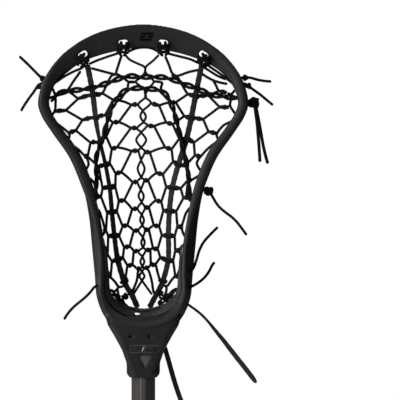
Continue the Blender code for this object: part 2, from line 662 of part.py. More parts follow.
def build_shooters():
    for name, line, lift in (
        ("shooting_string_upper", UPPER_SHOOTER, UPPER_SHOOTER_LIFT),
        ("shooting_string_lower", LOWER_SHOOTER, LOWER_SHOOTER_LIFT),
    ):
        tube(name, along(on_net(line, lift), 2.5 * SHOOTER), SHOOTER, CORD)


def build_end_strings():
    bow, power = TOP_STRING_BOW
    line = [(x, TOP_STRING_Y + bow * abs(x) ** power, z) for x, z in TOP_STRING]
    tube("top_string", along(line, 0.006), STRING, CORD)
    for name, side in (("bottom_string_left", -1), ("bottom_string_right", 1)):
        line = [(side * x, z) for x, z in BOTTOM_STRING]
        tube(name, on_net(line, BOTTOM_STRING_LIFT), STRING, CORD)


def ball(name, centre, radius, finish):
    made = bmesh.new()
    bmesh.ops.create_icosphere(made, subdivisions=2, radius=radius)
    bmesh.ops.translate(made, verts=made.verts, vec=centre)
    finished(made, name, finish, sharp=60.0)


def build_knots():
    for name, x, z in TOP_KNOTS:
        ball(name, (x, TOP_KNOT_Y, z), TOP_KNOT_RADIUS, CORD)
    for name, centre, radius in RIM_KNOTS:
        ball(name, centre, radius, CORD)


def build_tails():
    for name, (width, route) in TAILS.items():
        finish = LEATHER if width == THONG else CORD
        tube(name, along(route, TAIL_POINT_SPACING * width), width, finish, resolution=2)


def main():
    clear_scene()
    build_shaft()
    build_end_cap()
    build_screw()
    build_head_frame()
    build_ball_stop()
    build_runners()
    build_centre_strings()
    build_lace()
    build_sidewall_strings()
    build_shooters()
    build_end_strings()
    build_knots()
    build_tails()


main()
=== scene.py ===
"""The looks of a women's lacrosse stick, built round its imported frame.

Metres, +Z up along the shaft and the head's open face towards -Y. Every visible piece rides on a
body of the frame. The strings are swept along their own runs, with their twist in the mesh.
"""

import math

import bmesh
import bpy
import numpy as np
from mathutils import Matrix, Vector
from mathutils.bvhtree import BVHTree


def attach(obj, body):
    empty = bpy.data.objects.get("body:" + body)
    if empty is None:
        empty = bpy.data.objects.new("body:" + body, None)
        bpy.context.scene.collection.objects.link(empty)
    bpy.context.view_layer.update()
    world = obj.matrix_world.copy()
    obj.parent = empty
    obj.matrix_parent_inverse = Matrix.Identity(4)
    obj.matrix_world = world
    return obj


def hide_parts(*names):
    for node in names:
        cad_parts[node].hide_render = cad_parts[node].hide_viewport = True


MM = 0.001
FRONT = np.array([0.0, -1.0, 0.0])

# ---- camera and light
CAMERA_X, CAMERA_Z = 0.0527, 0.9223
CAMERA_DISTANCE = 3.2
FRAME_WIDTH = 0.372
SENSOR = 36.0
FLOOR_RADIUS, FLOOR_Z = 6.0, -0.0015
FLOOR_COLOUR, FLOOR_GLOW = (0.80, 0.80, 0.80, 1), (0.52, 0.52, 0.52, 1)
AMBIENT = 0.04
# Name, place, what it faces, size and power
LIGHTS = [
    ("key_left", (-1.9, -1.5, 1.45), (0, 0, 0.93), (0.9, 1.6), 31.0),
    ("front_top", (0.1, -2.2, 2.3), (0, 0, 0.93), (1.4, 0.9), 11.5),
    ("rim_left", (-1.5, 1.3, 1.7), (0, 0, 0.93), (0.6, 1.4), 14.0),
    ("back_soft", (-0.5, 2.8, 1.5), (0, 0, 0.8), (1.6, 1.6), 16.0),
    ("fill_low", (-1.4, -1.6, 0.45), (0, 0, 0.35), (0.8, 1.2), 6.0),
]

# ---- the part's own dimensions, as part.py has them
SHAFT_WIDTH, SHAFT_DEPTH = 0.022, 0.024
SHAFT_FRONT_FLAT, SHAFT_SIDE_FLAT = 0.0046, 0.006
SHAFT_HOLLOW, SHAFT_WALL = 0.0006, 0.0014
SHAFT_STATIONS = [0.0065, 0.245, 0.275, 0.652, 0.668, 0.757, 0.803]
SHAFT_SCALES = [0.94, 0.94, 0.98, 0.98, 1.0, 1.0, 1.0]
SHAFT_FLUTES = [1.0, 1.0, 1.0, 1.0, 0.0, 0.0, 0.0]
GAP = 0.0003

THROAT = [
    (0.7576, 0.0126, 0.0064, -0.0138, 0.0138),
    (0.7612, 0.0153, 0.0080, -0.0162, 0.0162),
    (0.7710, 0.0155, 0.0125, -0.0164, 0.0164),
    (0.7830, 0.0197, 0.0175, -0.0166, 0.0166),
    (0.7960, 0.0268, 0.0220, -0.0166, 0.0166),
    (0.8060, 0.0328, 0.0280, -0.0166, 0.0166),
    (0.8150, 0.0355, 0.0310, -0.0166, 0.0166),
]
THROAT_SIDE = 0.008
SOCKET_TOP, SOCKET_BOTTOM = 0.8055, 0.75

# The rim's section from the middle of the scoop to the middle of the throat, in millimetres:
# outer edge x and z, inner edge x and z, depth of the front lip, then how far in from the outer
# edge the lip, the groove behind it, the wall and the back lip lie, then the front lip's outer
# and inner y and the back lip's outer and inner y.
RIM = [
    (0.0, 1085.3, 0.0, 1063.6, 1.0, 0.0, 0.4, 1.0, 1.8, -14.0, -4.5, -10.0, 0.0),
    (39.5, 1078.5, 33.0, 1058.8, 1.0, 0.0, 0.4, 1.0, 1.8, -14.0, -4.5, -10.0, 0.0),
    (69.8, 1061.8, 61.0, 1048.6, 1.2, 0.0, 0.4, 1.0, 1.8, -13.5, -5.5, -8.0, 3.0),
    (89.2, 1039.6, 79.4, 1034.2, 2.4, 0.0, 2.0, 2.4, 1.6, -12.5, -8.0, 0.0, 8.0),
    (97.4, 1016.0, 87.8, 1015.6, 5.0, 0.0, 4.8, 4.8, 1.2, -11.5, -10.0, 12.0, 13.0),
    (94.6, 1000.8, 84.8, 1002.6, 6.0, 0.0, 6.0, 6.0, 1.0, -11.0, -10.0, 18.0, 18.0),
    (83.7, 983.6, 76.2, 989.2, 6.5, 0.0, 4.6, 4.6, 0.6, -10.5, -9.5, 22.0, 22.0),
    (68.4, 961.3, 60.2, 966.9, 6.5, 0.0, 5.4, 5.4, 0.4, -10.0, -9.0, 25.0, 25.0),
    (57.2, 935.0, 48.6, 939.0, 6.5, 0.0, 5.6, 5.2, 0.0, -10.5, -9.5, 27.0, 27.0),
    (51.4, 907.0, 41.2, 907.8, 6.5, 4.0, 6.4, 4.0, 0.0, -12.0, -11.0, 28.0, 28.0),
    (48.4, 877.6, 36.5, 877.6, 6.5, 7.6, 8.4, 3.0, 0.0, -14.0, -12.5, 28.0, 28.0),
    (46.0, 853.0, 34.2, 853.0, 6.5, 6.2, 7.4, 2.4, 0.0, -16.0, -14.5, 27.0, 27.0),
    (43.6, 830.0, 32.4, 838.0, 6.5, 4.8, 6.2, 2.0, 0.0, -17.2, -15.6, 25.0, 25.0),
    (35.0, 811.0, 27.0, 829.0, 6.0, 6.0, 7.4, 2.0, 0.0, -17.8, -16.0, 22.0, 22.0),
    (21.0, 800.5, 15.5, 822.8, 5.0, 7.0, 8.4, 2.0, 0.0, -18.0, -16.2, 19.0, 19.5),
    (0.0, 796.0, 0.0, 820.0, 5.0, 8.0, 9.4, 2.0, 0.0, -18.0, -16.2, 17.6, 18.0),
]
WINDOWS = [(4.35, 5.35), (5.62, 6.55), (6.8, 7.65), (7.85, 8.35)]
WINDOW_EDGE, WINDOW_LEAN = 0.0072, 0.005
SLOTS = [(0.0186, 1.0681, -7.0), (0.0560, 1.0573, -33.0)]
SLOT_WIDTH, SLOT_HEIGHT = 0.0085, 0.0056
THROAT_WINDOW = [(-0.0042, 0.7784), (0.0072, 0.7784), (0.0015, 0.7662)]
SCREW_Z, SCREW_HEAD, SCREW_SHANK, SCREW_HEAD_DEPTH = 0.7835, 0.0040, 0.0018, 0.0022

NET_Z = [0.818, 0.826, 0.845, 0.870, 0.905, 0.950, 1.000, 1.035, 1.065]
NET_MIDDLE_Y = [0.0225, 0.0270, 0.0370, 0.0420, 0.0410, 0.0330, 0.0190, 0.0070, -0.0010]
NET_SIDE_Y = [0.0215, 0.0225, 0.0235, 0.0240, 0.0240, 0.0215, 0.0140, 0.0060, -0.0010]

# ---- free ends: width, then the route in metres as part.py has it
TAIL, LARGE_TAIL, THONG = 0.0023, 0.0028, 0.0047
TAILS = {
    "tail_left_upper": (TAIL, [
        (-0.0905, 0.001, 1.0335), (-0.095, 0.001, 1.0362), (-0.0975, 0.001, 1.0385),
        (-0.0995, 0.001, 1.0405), (-0.1018, 0.0012, 1.0428), (-0.1042, 0.0016, 1.0453),
        (-0.1067, 0.0022, 1.0478), (-0.1094, 0.0028, 1.0504), (-0.1124, 0.0034, 1.0532),
        (-0.1156, 0.004, 1.0562)]),
    "tail_left_lower": (TAIL, [
        (-0.093, 0.001, 1.032), (-0.0982, 0.001, 1.0284), (-0.1002, 0.001, 1.0255),
        (-0.102, 0.001, 1.0228), (-0.104, 0.0012, 1.0201), (-0.1062, 0.0016, 1.0172),
        (-0.1084, 0.002, 1.0141), (-0.1107, 0.0026, 1.0107), (-0.1126, 0.0032, 1.0076),
        (-0.114, 0.0038, 1.005)]),
    "tail_right_upper": (TAIL, [
        (0.087, 0.001, 1.0352), (0.0912, 0.001, 1.036), (0.095, 0.001, 1.0364),
        (0.0982, 0.001, 1.0362), (0.1006, 0.001, 1.0358), (0.1034, 0.0012, 1.035),
        (0.1063, 0.0016, 1.0342), (0.1094, 0.002, 1.0336), (0.1127, 0.0024, 1.0331),
        (0.116, 0.0028, 1.0328), (0.1192, 0.0032, 1.0326)]),
    "tail_right_lower": (TAIL, [
        (0.093, 0.001, 1.0312), (0.0982, 0.001, 1.0284), (0.1006, 0.001, 1.0262),
        (0.1028, 0.001, 1.0246), (0.1054, 0.0012, 1.0228), (0.1083, 0.0016, 1.0207),
        (0.1113, 0.002, 1.0183), (0.1144, 0.0024, 1.0157), (0.1176, 0.0028, 1.0131),
        (0.1208, 0.0032, 1.0106)]),
    "tail_large_front": (LARGE_TAIL, [
        (0.1036, 0.0, 1.011), (0.104, -0.0008, 1.0068), (0.1046, -0.0012, 1.0025),
        (0.1052, -0.0015, 0.998), (0.1058, -0.0018, 0.993), (0.1063, -0.002, 0.9875),
        (0.1068, -0.0022, 0.9815), (0.1073, -0.0023, 0.9755), (0.1077, -0.0024, 0.9695),
        (0.1081, -0.0024, 0.9635), (0.1084, -0.0024, 0.9575)]),
    "tail_large_back": (LARGE_TAIL, [
        (0.1042, 0.002, 1.011), (0.1052, 0.0034, 1.007), (0.1062, 0.0038, 1.0022),
        (0.1072, 0.0042, 0.9972), (0.1083, 0.0045, 0.9915), (0.1094, 0.0048, 0.9852),
        (0.1105, 0.005, 0.9788), (0.1117, 0.0052, 0.9724), (0.1131, 0.0053, 0.9662),
        (0.1146, 0.0054, 0.9605), (0.116, 0.0054, 0.956)]),
    "tail_right_middle": (TAIL, [
        (0.0618, 0.006, 0.929), (0.064, 0.006, 0.926), (0.0656, 0.0062, 0.9232),
        (0.0676, 0.0066, 0.9198), (0.07, 0.007, 0.9166), (0.073, 0.0075, 0.9136),
        (0.0764, 0.008, 0.9108), (0.08, 0.0086, 0.9082), (0.0837, 0.0092, 0.9052),
        (0.0872, 0.0098, 0.9016), (0.0905, 0.0104, 0.8974), (0.0936, 0.011, 0.8932),
        (0.0964, 0.0116, 0.8894)]),
    "tail_right_lower_rail": (TAIL, [
        (0.0436, 0.015, 0.8545), (0.0456, 0.015, 0.8572), (0.0474, 0.015, 0.8604),
        (0.0486, 0.015, 0.864), (0.0498, 0.0152, 0.8676), (0.0508, 0.0156, 0.8714),
        (0.0521, 0.016, 0.8752), (0.0538, 0.0166, 0.879), (0.0559, 0.0172, 0.8826),
        (0.0586, 0.0178, 0.886), (0.0617, 0.0184, 0.8893), (0.0653, 0.019, 0.893),
        (0.0695, 0.0196, 0.8971)]),
    "tail_right_throat": (TAIL, [
        (0.042, 0.015, 0.8402), (0.0468, 0.015, 0.8425), (0.0498, 0.0152, 0.8442),
        (0.0532, 0.0156, 0.8466), (0.0564, 0.016, 0.8494), (0.0592, 0.0165, 0.8526),
        (0.0615, 0.017, 0.8562), (0.0632, 0.0176, 0.8596), (0.0648, 0.0182, 0.8622),
        (0.0666, 0.0188, 0.8642)]),
    "tail_left_throat": (TAIL, [
        (-0.0425, 0.015, 0.843), (-0.0464, 0.015, 0.8405), (-0.049, 0.0152, 0.8372),
        (-0.052, 0.0156, 0.8338), (-0.0553, 0.016, 0.8307), (-0.0588, 0.0166, 0.8278),
        (-0.0624, 0.0172, 0.8249), (-0.066, 0.0178, 0.8217), (-0.0694, 0.0184, 0.818),
        (-0.0724, 0.019, 0.814), (-0.0745, 0.0196, 0.8104)]),
    "tail_runner_right": (THONG, [
        (0.0388, 0.0186, 0.8262), (0.0418, 0.0188, 0.8244), (0.0442, 0.019, 0.8226),
        (0.0462, 0.0192, 0.8212), (0.049, 0.0195, 0.8192), (0.0532, 0.0198, 0.8158),
        (0.0574, 0.02, 0.8117), (0.0617, 0.0203, 0.8068), (0.066, 0.0206, 0.8015),
        (0.0704, 0.0209, 0.7961), (0.0748, 0.0212, 0.7907), (0.0791, 0.0215, 0.7851),
        (0.0834, 0.0218, 0.7796), (0.0877, 0.0221, 0.774), (0.0921, 0.0224, 0.7685),
        (0.0966, 0.0227, 0.7627), (0.1012, 0.023, 0.7567), (0.1056, 0.0233, 0.7508)]),
    "thong_throat": (THONG, [
        (0.015, 0.0205, 0.797), (0.0183, 0.0205, 0.788), (0.0212, 0.0206, 0.779),
        (0.0241, 0.0206, 0.769), (0.027, 0.0207, 0.7585), (0.0302, 0.0207, 0.748),
        (0.034, 0.0208, 0.737), (0.0382, 0.0208, 0.7258), (0.0424, 0.0208, 0.714),
        (0.0464, 0.0208, 0.7015), (0.05, 0.0208, 0.6885), (0.053, 0.0208, 0.6755),
        (0.0556, 0.0208, 0.662), (0.058, 0.0208, 0.648), (0.06, 0.0208, 0.634),
        (0.0616, 0.0208, 0.62), (0.0628, 0.0208, 0.606), (0.0636, 0.0208, 0.593)]),
}
THONG_THICK = 0.0022

# ---- pocket strings, in millimetres as x and z on the net's surface
# A knot bar is where two laces wrap each other: x and z of its outer end, then of its inner end.
EDGE_BARS = {
    -1: [(-45, 1019.6, -38.6, 1021.9), (-42.8, 1000.7, -36.3, 1001.6),
         (-40.5, 979.4, -35.2, 981.5), (-36.3, 955.4, -32.2, 957.1), (-31.9, 933.9, -27, 934.6),
         (-30, 911, -25.6, 911.5), (-27.7, 888.6, -23.5, 888.5), (-25.6, 866, -20, 868.1)],
    1: [(48.5, 1019.3, 41.6, 1021.1), (43.9, 999, 38.1, 1000.7), (39.5, 978.6, 33.4, 979.6),
        (34.6, 955.4, 27.6, 958.3), (26.7, 933.9, 21.1, 934.6), (23.9, 911.9, 18.3, 912.3),
        (23, 888.8, 16.9, 889.2), (21.8, 866, 15.5, 868.1)],
}
MIDDLE_BARS = {
    -1: [(-28.2, 1015.8, -22.9, 1015.3), (-28.8, 994.9, -23.5, 995.2),
         (-29.9, 969.9, -25.3, 971.7), (-26.3, 947.1, -21.4, 948.5), (-23.5, 921.3, -18.7, 922),
         (-20, 897.6, -15.9, 898.3), (-18.6, 877.8, -13.8, 878.5), (-15.2, 860.4, -11, 861.1)],
    1: [(29.9, 1013.5, 25.9, 1013.5), (27, 993.2, 21.2, 994.9), (25.9, 969.9, 20.1, 971.7),
        (17.6, 946.4, 12, 947.8), (16.2, 920.6, 11.3, 922), (14.1, 897.6, 9.3, 898.3),
        (12.7, 876.4, 8.6, 876.4), (10.6, 861.8, 6.5, 861.1)],
}
INNER_BARS = {
    -1: [(-11.3, 1011.2, -4.9, 1011.8), (-11.9, 989.7, -6.1, 989.7), (-11.3, 968.2, -4.9, 968.7),
         (-10.3, 938.8, -6.1, 939.5), (-11, 913.7, -6.1, 914.3), (-9.6, 893.4, -5.4, 893.4),
         (-9.6, 874.4, -5.4, 873.7), (-7.5, 858.3, -3.4, 857)],
    1: [(14.3, 1010.6, 6.7, 1012.9), (9.6, 991.4, 3.2, 992), (5.5, 967, 0.9, 967.6),
        (3.7, 940.9, 0.2, 940.9), (4.4, 915.7, 0.9, 915), (4.4, 894.8, 0.9, 894.1),
        (5.8, 875.7, 1.6, 875), (4.4, 859, 0.2, 858.3)],
}
# Outside the runners: bars against the runner, and against the sidewall string.
RUNNER_BARS = {
    -1: [(-60.7, 1017, -49.7, 1020.5), (-57, 997.2, -48, 999.6), (-49.7, 976, -44.5, 976.9),
         (-42.1, 953.3, -38, 955.4), (-38.5, 933.2, -33, 934.6), (-34.3, 910.2, -30, 911),
         (-33.3, 888.5, -27.7, 888.6), (-29.8, 864.6, -24.6, 866.5)],
    1: [(60.2, 1019.9, 50.9, 1019.3), (55.5, 997.8, 48, 999), (46.8, 976, 42.2, 979.2),
        (39.2, 954.8, 35.8, 955.4), (34.4, 933.2, 26.7, 933.9), (30.2, 911.6, 23.9, 911.9),
        (28.8, 888.5, 23, 888.8), (27.4, 865.3, 23.9, 865.3)],
}
WALL_BARS = {
    -1: [(-77, 1022.8, -71.2, 1024.5), (-84, 1005.1, -72.9, 1006), (-70.6, 984.7, -63.6, 987.3),
         (-56, 963.5, -52.6, 963), (-43, 943, -40.6, 943.4), (-45.2, 925.5, -40.3, 925.5),
         (-37.4, 895, -35.6, 894), (-35.6, 872, -34, 871.4), (-33.3, 851.7, -31.2, 849.9)],
    1: [(78.2, 1022.2, 70.6, 1024), (80.5, 1008.9, 71.2, 1009.1), (68.9, 984.4, 60.8, 986.2),
        (53.8, 962.9, 48, 964.1), (44.6, 940.5, 42, 941.5), (43, 925.5, 37.2, 924.1),
        (36.5, 896.9, 31.6, 897.6), (34.4, 875.7, 29.5, 874.4), (33, 850.6, 29.5, 851.3)],
}
# The middle pair: where it crosses above and below each inner bar, and half of each eye between.
CROSS_ABOVE = [(1.8, 1018.2), (-0.2, 995.4), (-2.4, 971.4), (-2.6, 943.6), (-2.3, 920.3),
               (-1.6, 898.6), (-1.0, 877.7), (-1.6, 859.7)]
CROSS_BELOW = [(-0.8, 1005.7), (-2.4, 985.6), (-2.6, 959.8), (-3.0, 932.0), (-2.2, 908.4),
               (-1.1, 887.1), (-1.6, 868.8), (-1.9, 854.8)]
EYES = [2.5, 4.6, 3.2, 2.4, 1.8, 1.6, 1.8, 2.3]
CROSS_LIFT = 0.55

# Laces that don't follow the pattern of the bars
ODD_LACES = {
    "lace_outer_left": [
        [(-58.3, 1042.5), (-64.5, 1034), (-71.2, 1024.5), (-77, 1022.8)],
        [(-77, 1022.8), (-80.2, 1020), (-83, 1018.4)],
        [(-31.2, 849.9), (-27, 845.5), (-23.5, 840.9), (-18.6, 841.6)],
        [(-23.5, 840.9), (-26.3, 837.4), (-29.5, 836.9), (-32.4, 838.6)],
        [(-25, 839.5), (-23.9, 834), (-24.4, 829.6), (-20.7, 828), (-18.4, 831.8), (-14.2, 833.6)],
        [(-29.1, 836.9), (-26.6, 833), (-23.6, 829.6), (-21, 826.6)],
    ],
    "lace_outer_right": [
        [(54.5, 1040), (58.2, 1037.4), (64.8, 1033.9), (71, 1031.9), (78.4, 1030.4)],
        [(64.8, 1033.9), (67.6, 1029.2), (70.6, 1024), (78.2, 1022.2)],
        [(78.2, 1022.2), (80.6, 1021), (83, 1019.9)],
        [(29.5, 851.3), (25.6, 846.6), (21.8, 841.6), (17.6, 842.6)],
        [(19.7, 842.6), (21.3, 839.2), (20, 833.6), (18, 830)],
        [(31.6, 839.5), (27, 837.2), (22.5, 832.5), (18.6, 829.4), (14, 831.6)],
        [(24, 834.4), (19, 832.4), (15.4, 834.4)],
    ],
    "lace_inner_left": [
        [(-49, 1045.1), (-39.5, 1042.6), (-29.8, 1040.1), (-22.7, 1038.7)],
        [(-20, 1057.5), (-22.9, 1049), (-25.4, 1040.6), (-22.7, 1038.7), (-18, 1035.6),
         (-13.4, 1032.3), (-7, 1032.3)],
        [(-26, 1038.9), (-29.8, 1038), (-34, 1030.4), (-38.6, 1021.9), (-45, 1019.6)],
        [(-7, 1032.3), (-13.4, 1032), (-15.6, 1025), (-22.9, 1015.3), (-28.2, 1015.8)],
        [(-11, 861.1), (-15.2, 860.4), (-16.6, 854), (-17.3, 848.6)],
        [(-3.4, 857.4), (-5.6, 854.8), (-6.8, 846.5), (-10.6, 837), (-12.6, 834.6)],
    ],
    "lace_inner_right": [
        [(52, 1043.6), (42, 1041.4), (31.5, 1037.9), (25.8, 1038.7)],
        [(20.1, 1056.5), (23.6, 1048.5), (26.8, 1040.4), (31.5, 1037.6)],
        [(25.8, 1038.3), (31.5, 1036.9), (36, 1029.6), (41.6, 1021.1), (48.5, 1019.3)],
        [(9.6, 1033), (17.2, 1031.6), (16.3, 1026.6), (19.6, 1019.4), (25.9, 1013.5),
         (29.9, 1013.5)],
        [(6.5, 861.1), (10.6, 861.8), (12.6, 855), (14.8, 847.2)],
        [(0.2, 858.3), (4, 856.4), (7.2, 846.5), (8.7, 837.4), (10.4, 834)],
    ],
}
CENTRE_TOP = {
    -1: [(-17, 1057.5), (-12.7, 1052.9), (-5.6, 1049.4), (0.9, 1046.2), (1.2, 1041.2),
         (-2.5, 1036.4), (-7, 1032.3), (0.1, 1026), (1.4, 1021.8)],
    1: [(14.6, 1057.4), (8.6, 1051.6), (2.3, 1046.2), (2.2, 1041.2), (5.8, 1036.8), (9.6, 1032.6),
        (5, 1026.6), (2.2, 1021.8)],
}
CENTRE_END = {-1: (-9.8, 833.9), 1: (7.7, 833.4)}
CENTRE_LAST = (-1.9, 846.5)

SIDEWALL = {
    -1: [
        [(-86, 1028), (-84, 1024.6), (-82.2, 1018.7), (-82.1, 1012), (-82.8, 1005.9),
         (-86.6, 999.8)],
        [(-85.2, 997.6), (-82.4, 994.7), (-77, 990.8), (-70.6, 985.4), (-69.4, 981.2),
         (-72.6, 976.2)],
        [(-68.6, 975.4), (-65, 972.6), (-60.7, 969.3), (-56.1, 964.5), (-53.4, 961.8),
         (-51.7, 955.4), (-55.4, 948.6)],
        [(-54.2, 946.2), (-50.8, 943), (-46.5, 938.1), (-44.8, 931.8), (-43.4, 925.2),
         (-47.2, 919.4)],
        [(-47.4, 915.8), (-44.6, 914.3), (-41.7, 912), (-39.4, 905.6), (-37.5, 899),
         (-36.8, 892.6), (-40.6, 886.6)],
        [(-40.4, 889.2), (-38, 884.4), (-37.4, 880.6), (-35.4, 876.6), (-35.4, 871.4),
         (-38.4, 866.2)],
        [(-37.6, 863.2), (-35.2, 858.8), (-32.9, 852), (-36.8, 845.6)],
    ],
    1: [
        [(87.6, 1027.2), (84.6, 1023.9), (81.9, 1020.3), (81.2, 1014.4), (81.1, 1009.6),
         (86.4, 1001.6)],
        [(84, 997.2), (80.3, 994.9), (74.7, 992), (69.5, 986), (68.4, 981.8), (71.4, 976.8)],
        [(68.2, 976.4), (64.6, 974), (59, 969.3), (53.8, 963.5), (51, 960), (49.9, 955.6),
         (54.6, 947.4)],
        [(54.4, 946.8), (50.2, 944.2), (44.4, 940.6), (41.2, 936.6), (40.4, 931), (40.4, 925.2),
         (46.8, 918.8)],
        [(47, 916.8), (43.2, 914.8), (39.4, 909.6), (37.4, 903.6), (35.8, 897.8), (36.4, 892.4),
         (39.8, 886.2)],
        [(40, 882.4), (35.8, 879), (33.4, 875.3), (34.6, 870.4), (38, 866.4)],
        [(37.6, 863), (34.6, 859.2), (32.2, 852.2), (36, 846)],
    ],
}

RUNNER_WIDTH, RUNNER_THICK, RUNNER_LIFT = 5.4, 1.7, 1.6
LAST_WRAP = 846.0  # height of the wrap below the last bar
RUNNERS = {
    -1: [(-52.4, 1048.5), (-50.4, 1039.4), (-47.2, 1020.5), (-44.3, 994.8), (-40.9, 976.6),
         (-36.2, 956.7), (-31.9, 932.5), (-30, 911.1), (-27.7, 888.8), (-24.6, 866.5),
         (-18.2, 845.1), (-11.1, 833), (-5.6, 821.4)],
    1: [(54.4, 1048.5), (52, 1037.1), (48.5, 1019.5), (44.6, 999.4), (39.9, 978.6), (32.8, 956.7),
        (26.7, 933.9), (23.9, 911.1), (23, 888.8), (22.9, 866.5), (17.4, 845.1), (11.4, 833),
        (5.2, 821.4)],
}

# How each runner is rolled about its run: shares of its length, then angles
RUNNER_ROLL = {-1: ([0, 0.16, 0.30, 0.74, 0.86, 1], [0, 0.2, 1.05, 1.1, 0.3, 0.2]),
               1: ([0, 0.5, 1], [-0.1, 0.1, -0.1])}
TAIL_FULLNESS = 1.16  # how much thicker a free end looks than its own solid
TAIL_ROLL = {"tail_runner_right": ([0, 0.28, 0.62, 1], [1.45, 1.35, 0.35, 0.1]),
             "thong_throat": ([0, 1], [0.15, 0.3])}

UPPER_SHOOTER = [
    (-87.4, 1015.4), (-83.5, 1017.8), (-74, 1023), (-48.6, 1026.4), (-28.2, 1032.9), (-15, 1037.2),
    (0.2, 1036.6), (15.5, 1036.6), (28.6, 1033.8), (51.8, 1025.1), (65.8, 1020.2), (84, 1017.6),
    (88.4, 1017),
]
LOWER_SHOOTER = [
    (-46.4, 922.5), (-44.9, 929), (-44.2, 940), (-44.2, 952), (-43.6, 965), (-37.5, 982),
    (-32.5, 999.4), (-27.4, 1012.5), (-22.5, 1019.5), (-14.2, 1025), (-1.2, 1026.4), (15, 1024.2),
    (22, 1019), (27.2, 1008.7), (31.3, 994.8), (36, 974.3), (40, 958), (41.9, 946), (42.2, 937),
    (43, 929.5), (44.6, 923),
]
TOP_KNOTS = [(-55.6, 1052.0, 33.0), (-18.6, 1063.0, 7.0), (18.6, 1063.0, -7.0),
             (56.0, 1052.0, -33.0)]

# Radii of the strings, and the spacing of the points along most of them
NETTING, LACE, SHOOTER = 1.20, 1.40, 1.45
STEP = 0.45
SIDEWALL_RADIUS, SIDEWALL_LIFT = 1.38, 0.9
# Knot bars: millimetres to a turn, then the turns of the tie and, in radii of the netting, its
# reach and its own radius
BAR_PITCH, TIE_TURNS, TIE_REACH, TIE_RADIUS = 3.8, 1.7, 1.42, 0.78
# Wraps round a runner: clear of its edge and of its face, their rise and their string's radius
WRAP_WIDE, WRAP_DEEP, WRAP_RISE, WRAP_RADIUS = 0.8, 1.15, 3.6, 1.16
# Shooting strings: millimetres to a turn, how far each of the pair swings across and out, and how
# much tighter the pair lies at some heights
SHOOTER_LAY, SHOOTER_SWING, SHOOTER_OUT = 27.0, 1.66, 1.12
SHOOTER_TIGHT = ([930, 985, 1012, 1022], [0.62, 0.80, 0.92, 1.0])

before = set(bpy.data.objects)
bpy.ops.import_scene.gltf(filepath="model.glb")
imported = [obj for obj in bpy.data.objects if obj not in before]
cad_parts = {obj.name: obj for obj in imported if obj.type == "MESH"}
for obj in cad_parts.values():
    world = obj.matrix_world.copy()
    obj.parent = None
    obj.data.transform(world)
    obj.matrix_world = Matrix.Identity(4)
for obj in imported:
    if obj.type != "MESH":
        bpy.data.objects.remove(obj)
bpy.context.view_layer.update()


# ---- curves and swept meshes


def smooth_rows(rows, count, closed_ends=False):
    """Catmull-Rom through the rows, with count steps between each two. Ends may mirror in x."""
    rows = np.array(rows, float)
    before, after = 2 * rows[0] - rows[1], 2 * rows[-1] - rows[-2]
    if closed_ends:
        before, after = rows[1].copy(), rows[-2].copy()
        for row in (before, after):
            row[[0, 2]] *= -1
    padded = np.vstack([before, rows, after])
    t = (np.arange(count) / count)[:, None]
    found = []
    for a, b, c, d in zip(padded, padded[1:], padded[2:], padded[3:]):
        cubic = 2 * b + (c - a) * t + (2 * a - 5 * b + 4 * c - d) * t**2
        found.append(0.5 * (cubic + (3 * b - a - 3 * c + d) * t**3))
    return np.vstack([*found, rows[-1:]])


def unit(vectors):
    return vectors / np.maximum(np.linalg.norm(vectors, axis=-1, keepdims=True), 1e-12)


def run_of(points):
    steps = np.linalg.norm(np.diff(points, axis=0), axis=1)
    return np.concatenate([[0], np.cumsum(steps)])


def along(points, spacing):
    """Points this far apart on a smooth curve through the given ones."""
    fine = smooth_rows(points, 12)
    run = run_of(fine)
    steps = np.linspace(0, run[-1], max(4, round(run[-1] / spacing) + 1))
    return np.stack([np.interp(steps, run, axis) for axis in fine.T], axis=1)


def carried_frame(path):
    """Tangent, across and out at each point of a path, carried along it without twist."""
    tangent = unit(np.gradient(path, axis=0))
    across = np.empty_like(path)
    start = FRONT if abs(tangent[0] @ FRONT) < 0.9 else np.array([1.0, 0, 0])
    side = unit(np.cross(tangent[0], start))
    for i, along_here in enumerate(tangent):
        side = unit(side - along_here * (side @ along_here))
        across[i] = side
    return tangent, across, np.cross(across, tangent)


def facing_frame(path, faces):
    """Tangent, across and out at each point, with out turned as far towards faces as it goes."""
    tangent = unit(np.gradient(path, axis=0))
    across = unit(np.cross(tangent, faces))
    return tangent, across, np.cross(across, tangent)


class Skins:
    """Gathers swept skins into one mesh."""

    def __init__(self):
        self.points, self.faces, self.count = [], [], 0

    def add(self, rings, closed=False):
        """A skin through rings, (ring, point, xyz), capped with a middle point at both ends."""
        rows, size = rings.shape[:2]
        index = self.count + np.arange(rows * size).reshape(rows, size)
        self.points.append(rings.reshape(-1, 3))
        self.count += rows * size
        here = index if closed else index[:-1]
        there = np.roll(index, -1, axis=0) if closed else index[1:]
        quads = np.stack([here, np.roll(here, -1, 1), np.roll(there, -1, 1), there], axis=-1)
        self.faces += quads.reshape(-1, 4).tolist()
        if closed:
            return
        for ring, turn in ((index[0], -1), (index[-1], 1)):
            self.points.append(rings[0 if turn < 0 else -1].mean(axis=0)[None])
            fan = [(int(a), int(b), self.count)
                   for a, b in zip(ring[::turn], np.roll(ring[::turn], -1))]
            self.faces += fan
            self.count += 1

    def made(self, name, paint, body="stick", sharp=None):
        mesh = bpy.data.meshes.new(name)
        mesh.from_pydata(np.vstack(self.points).tolist(), [], self.faces)
        return placed(name, mesh, paint, body, sharp)


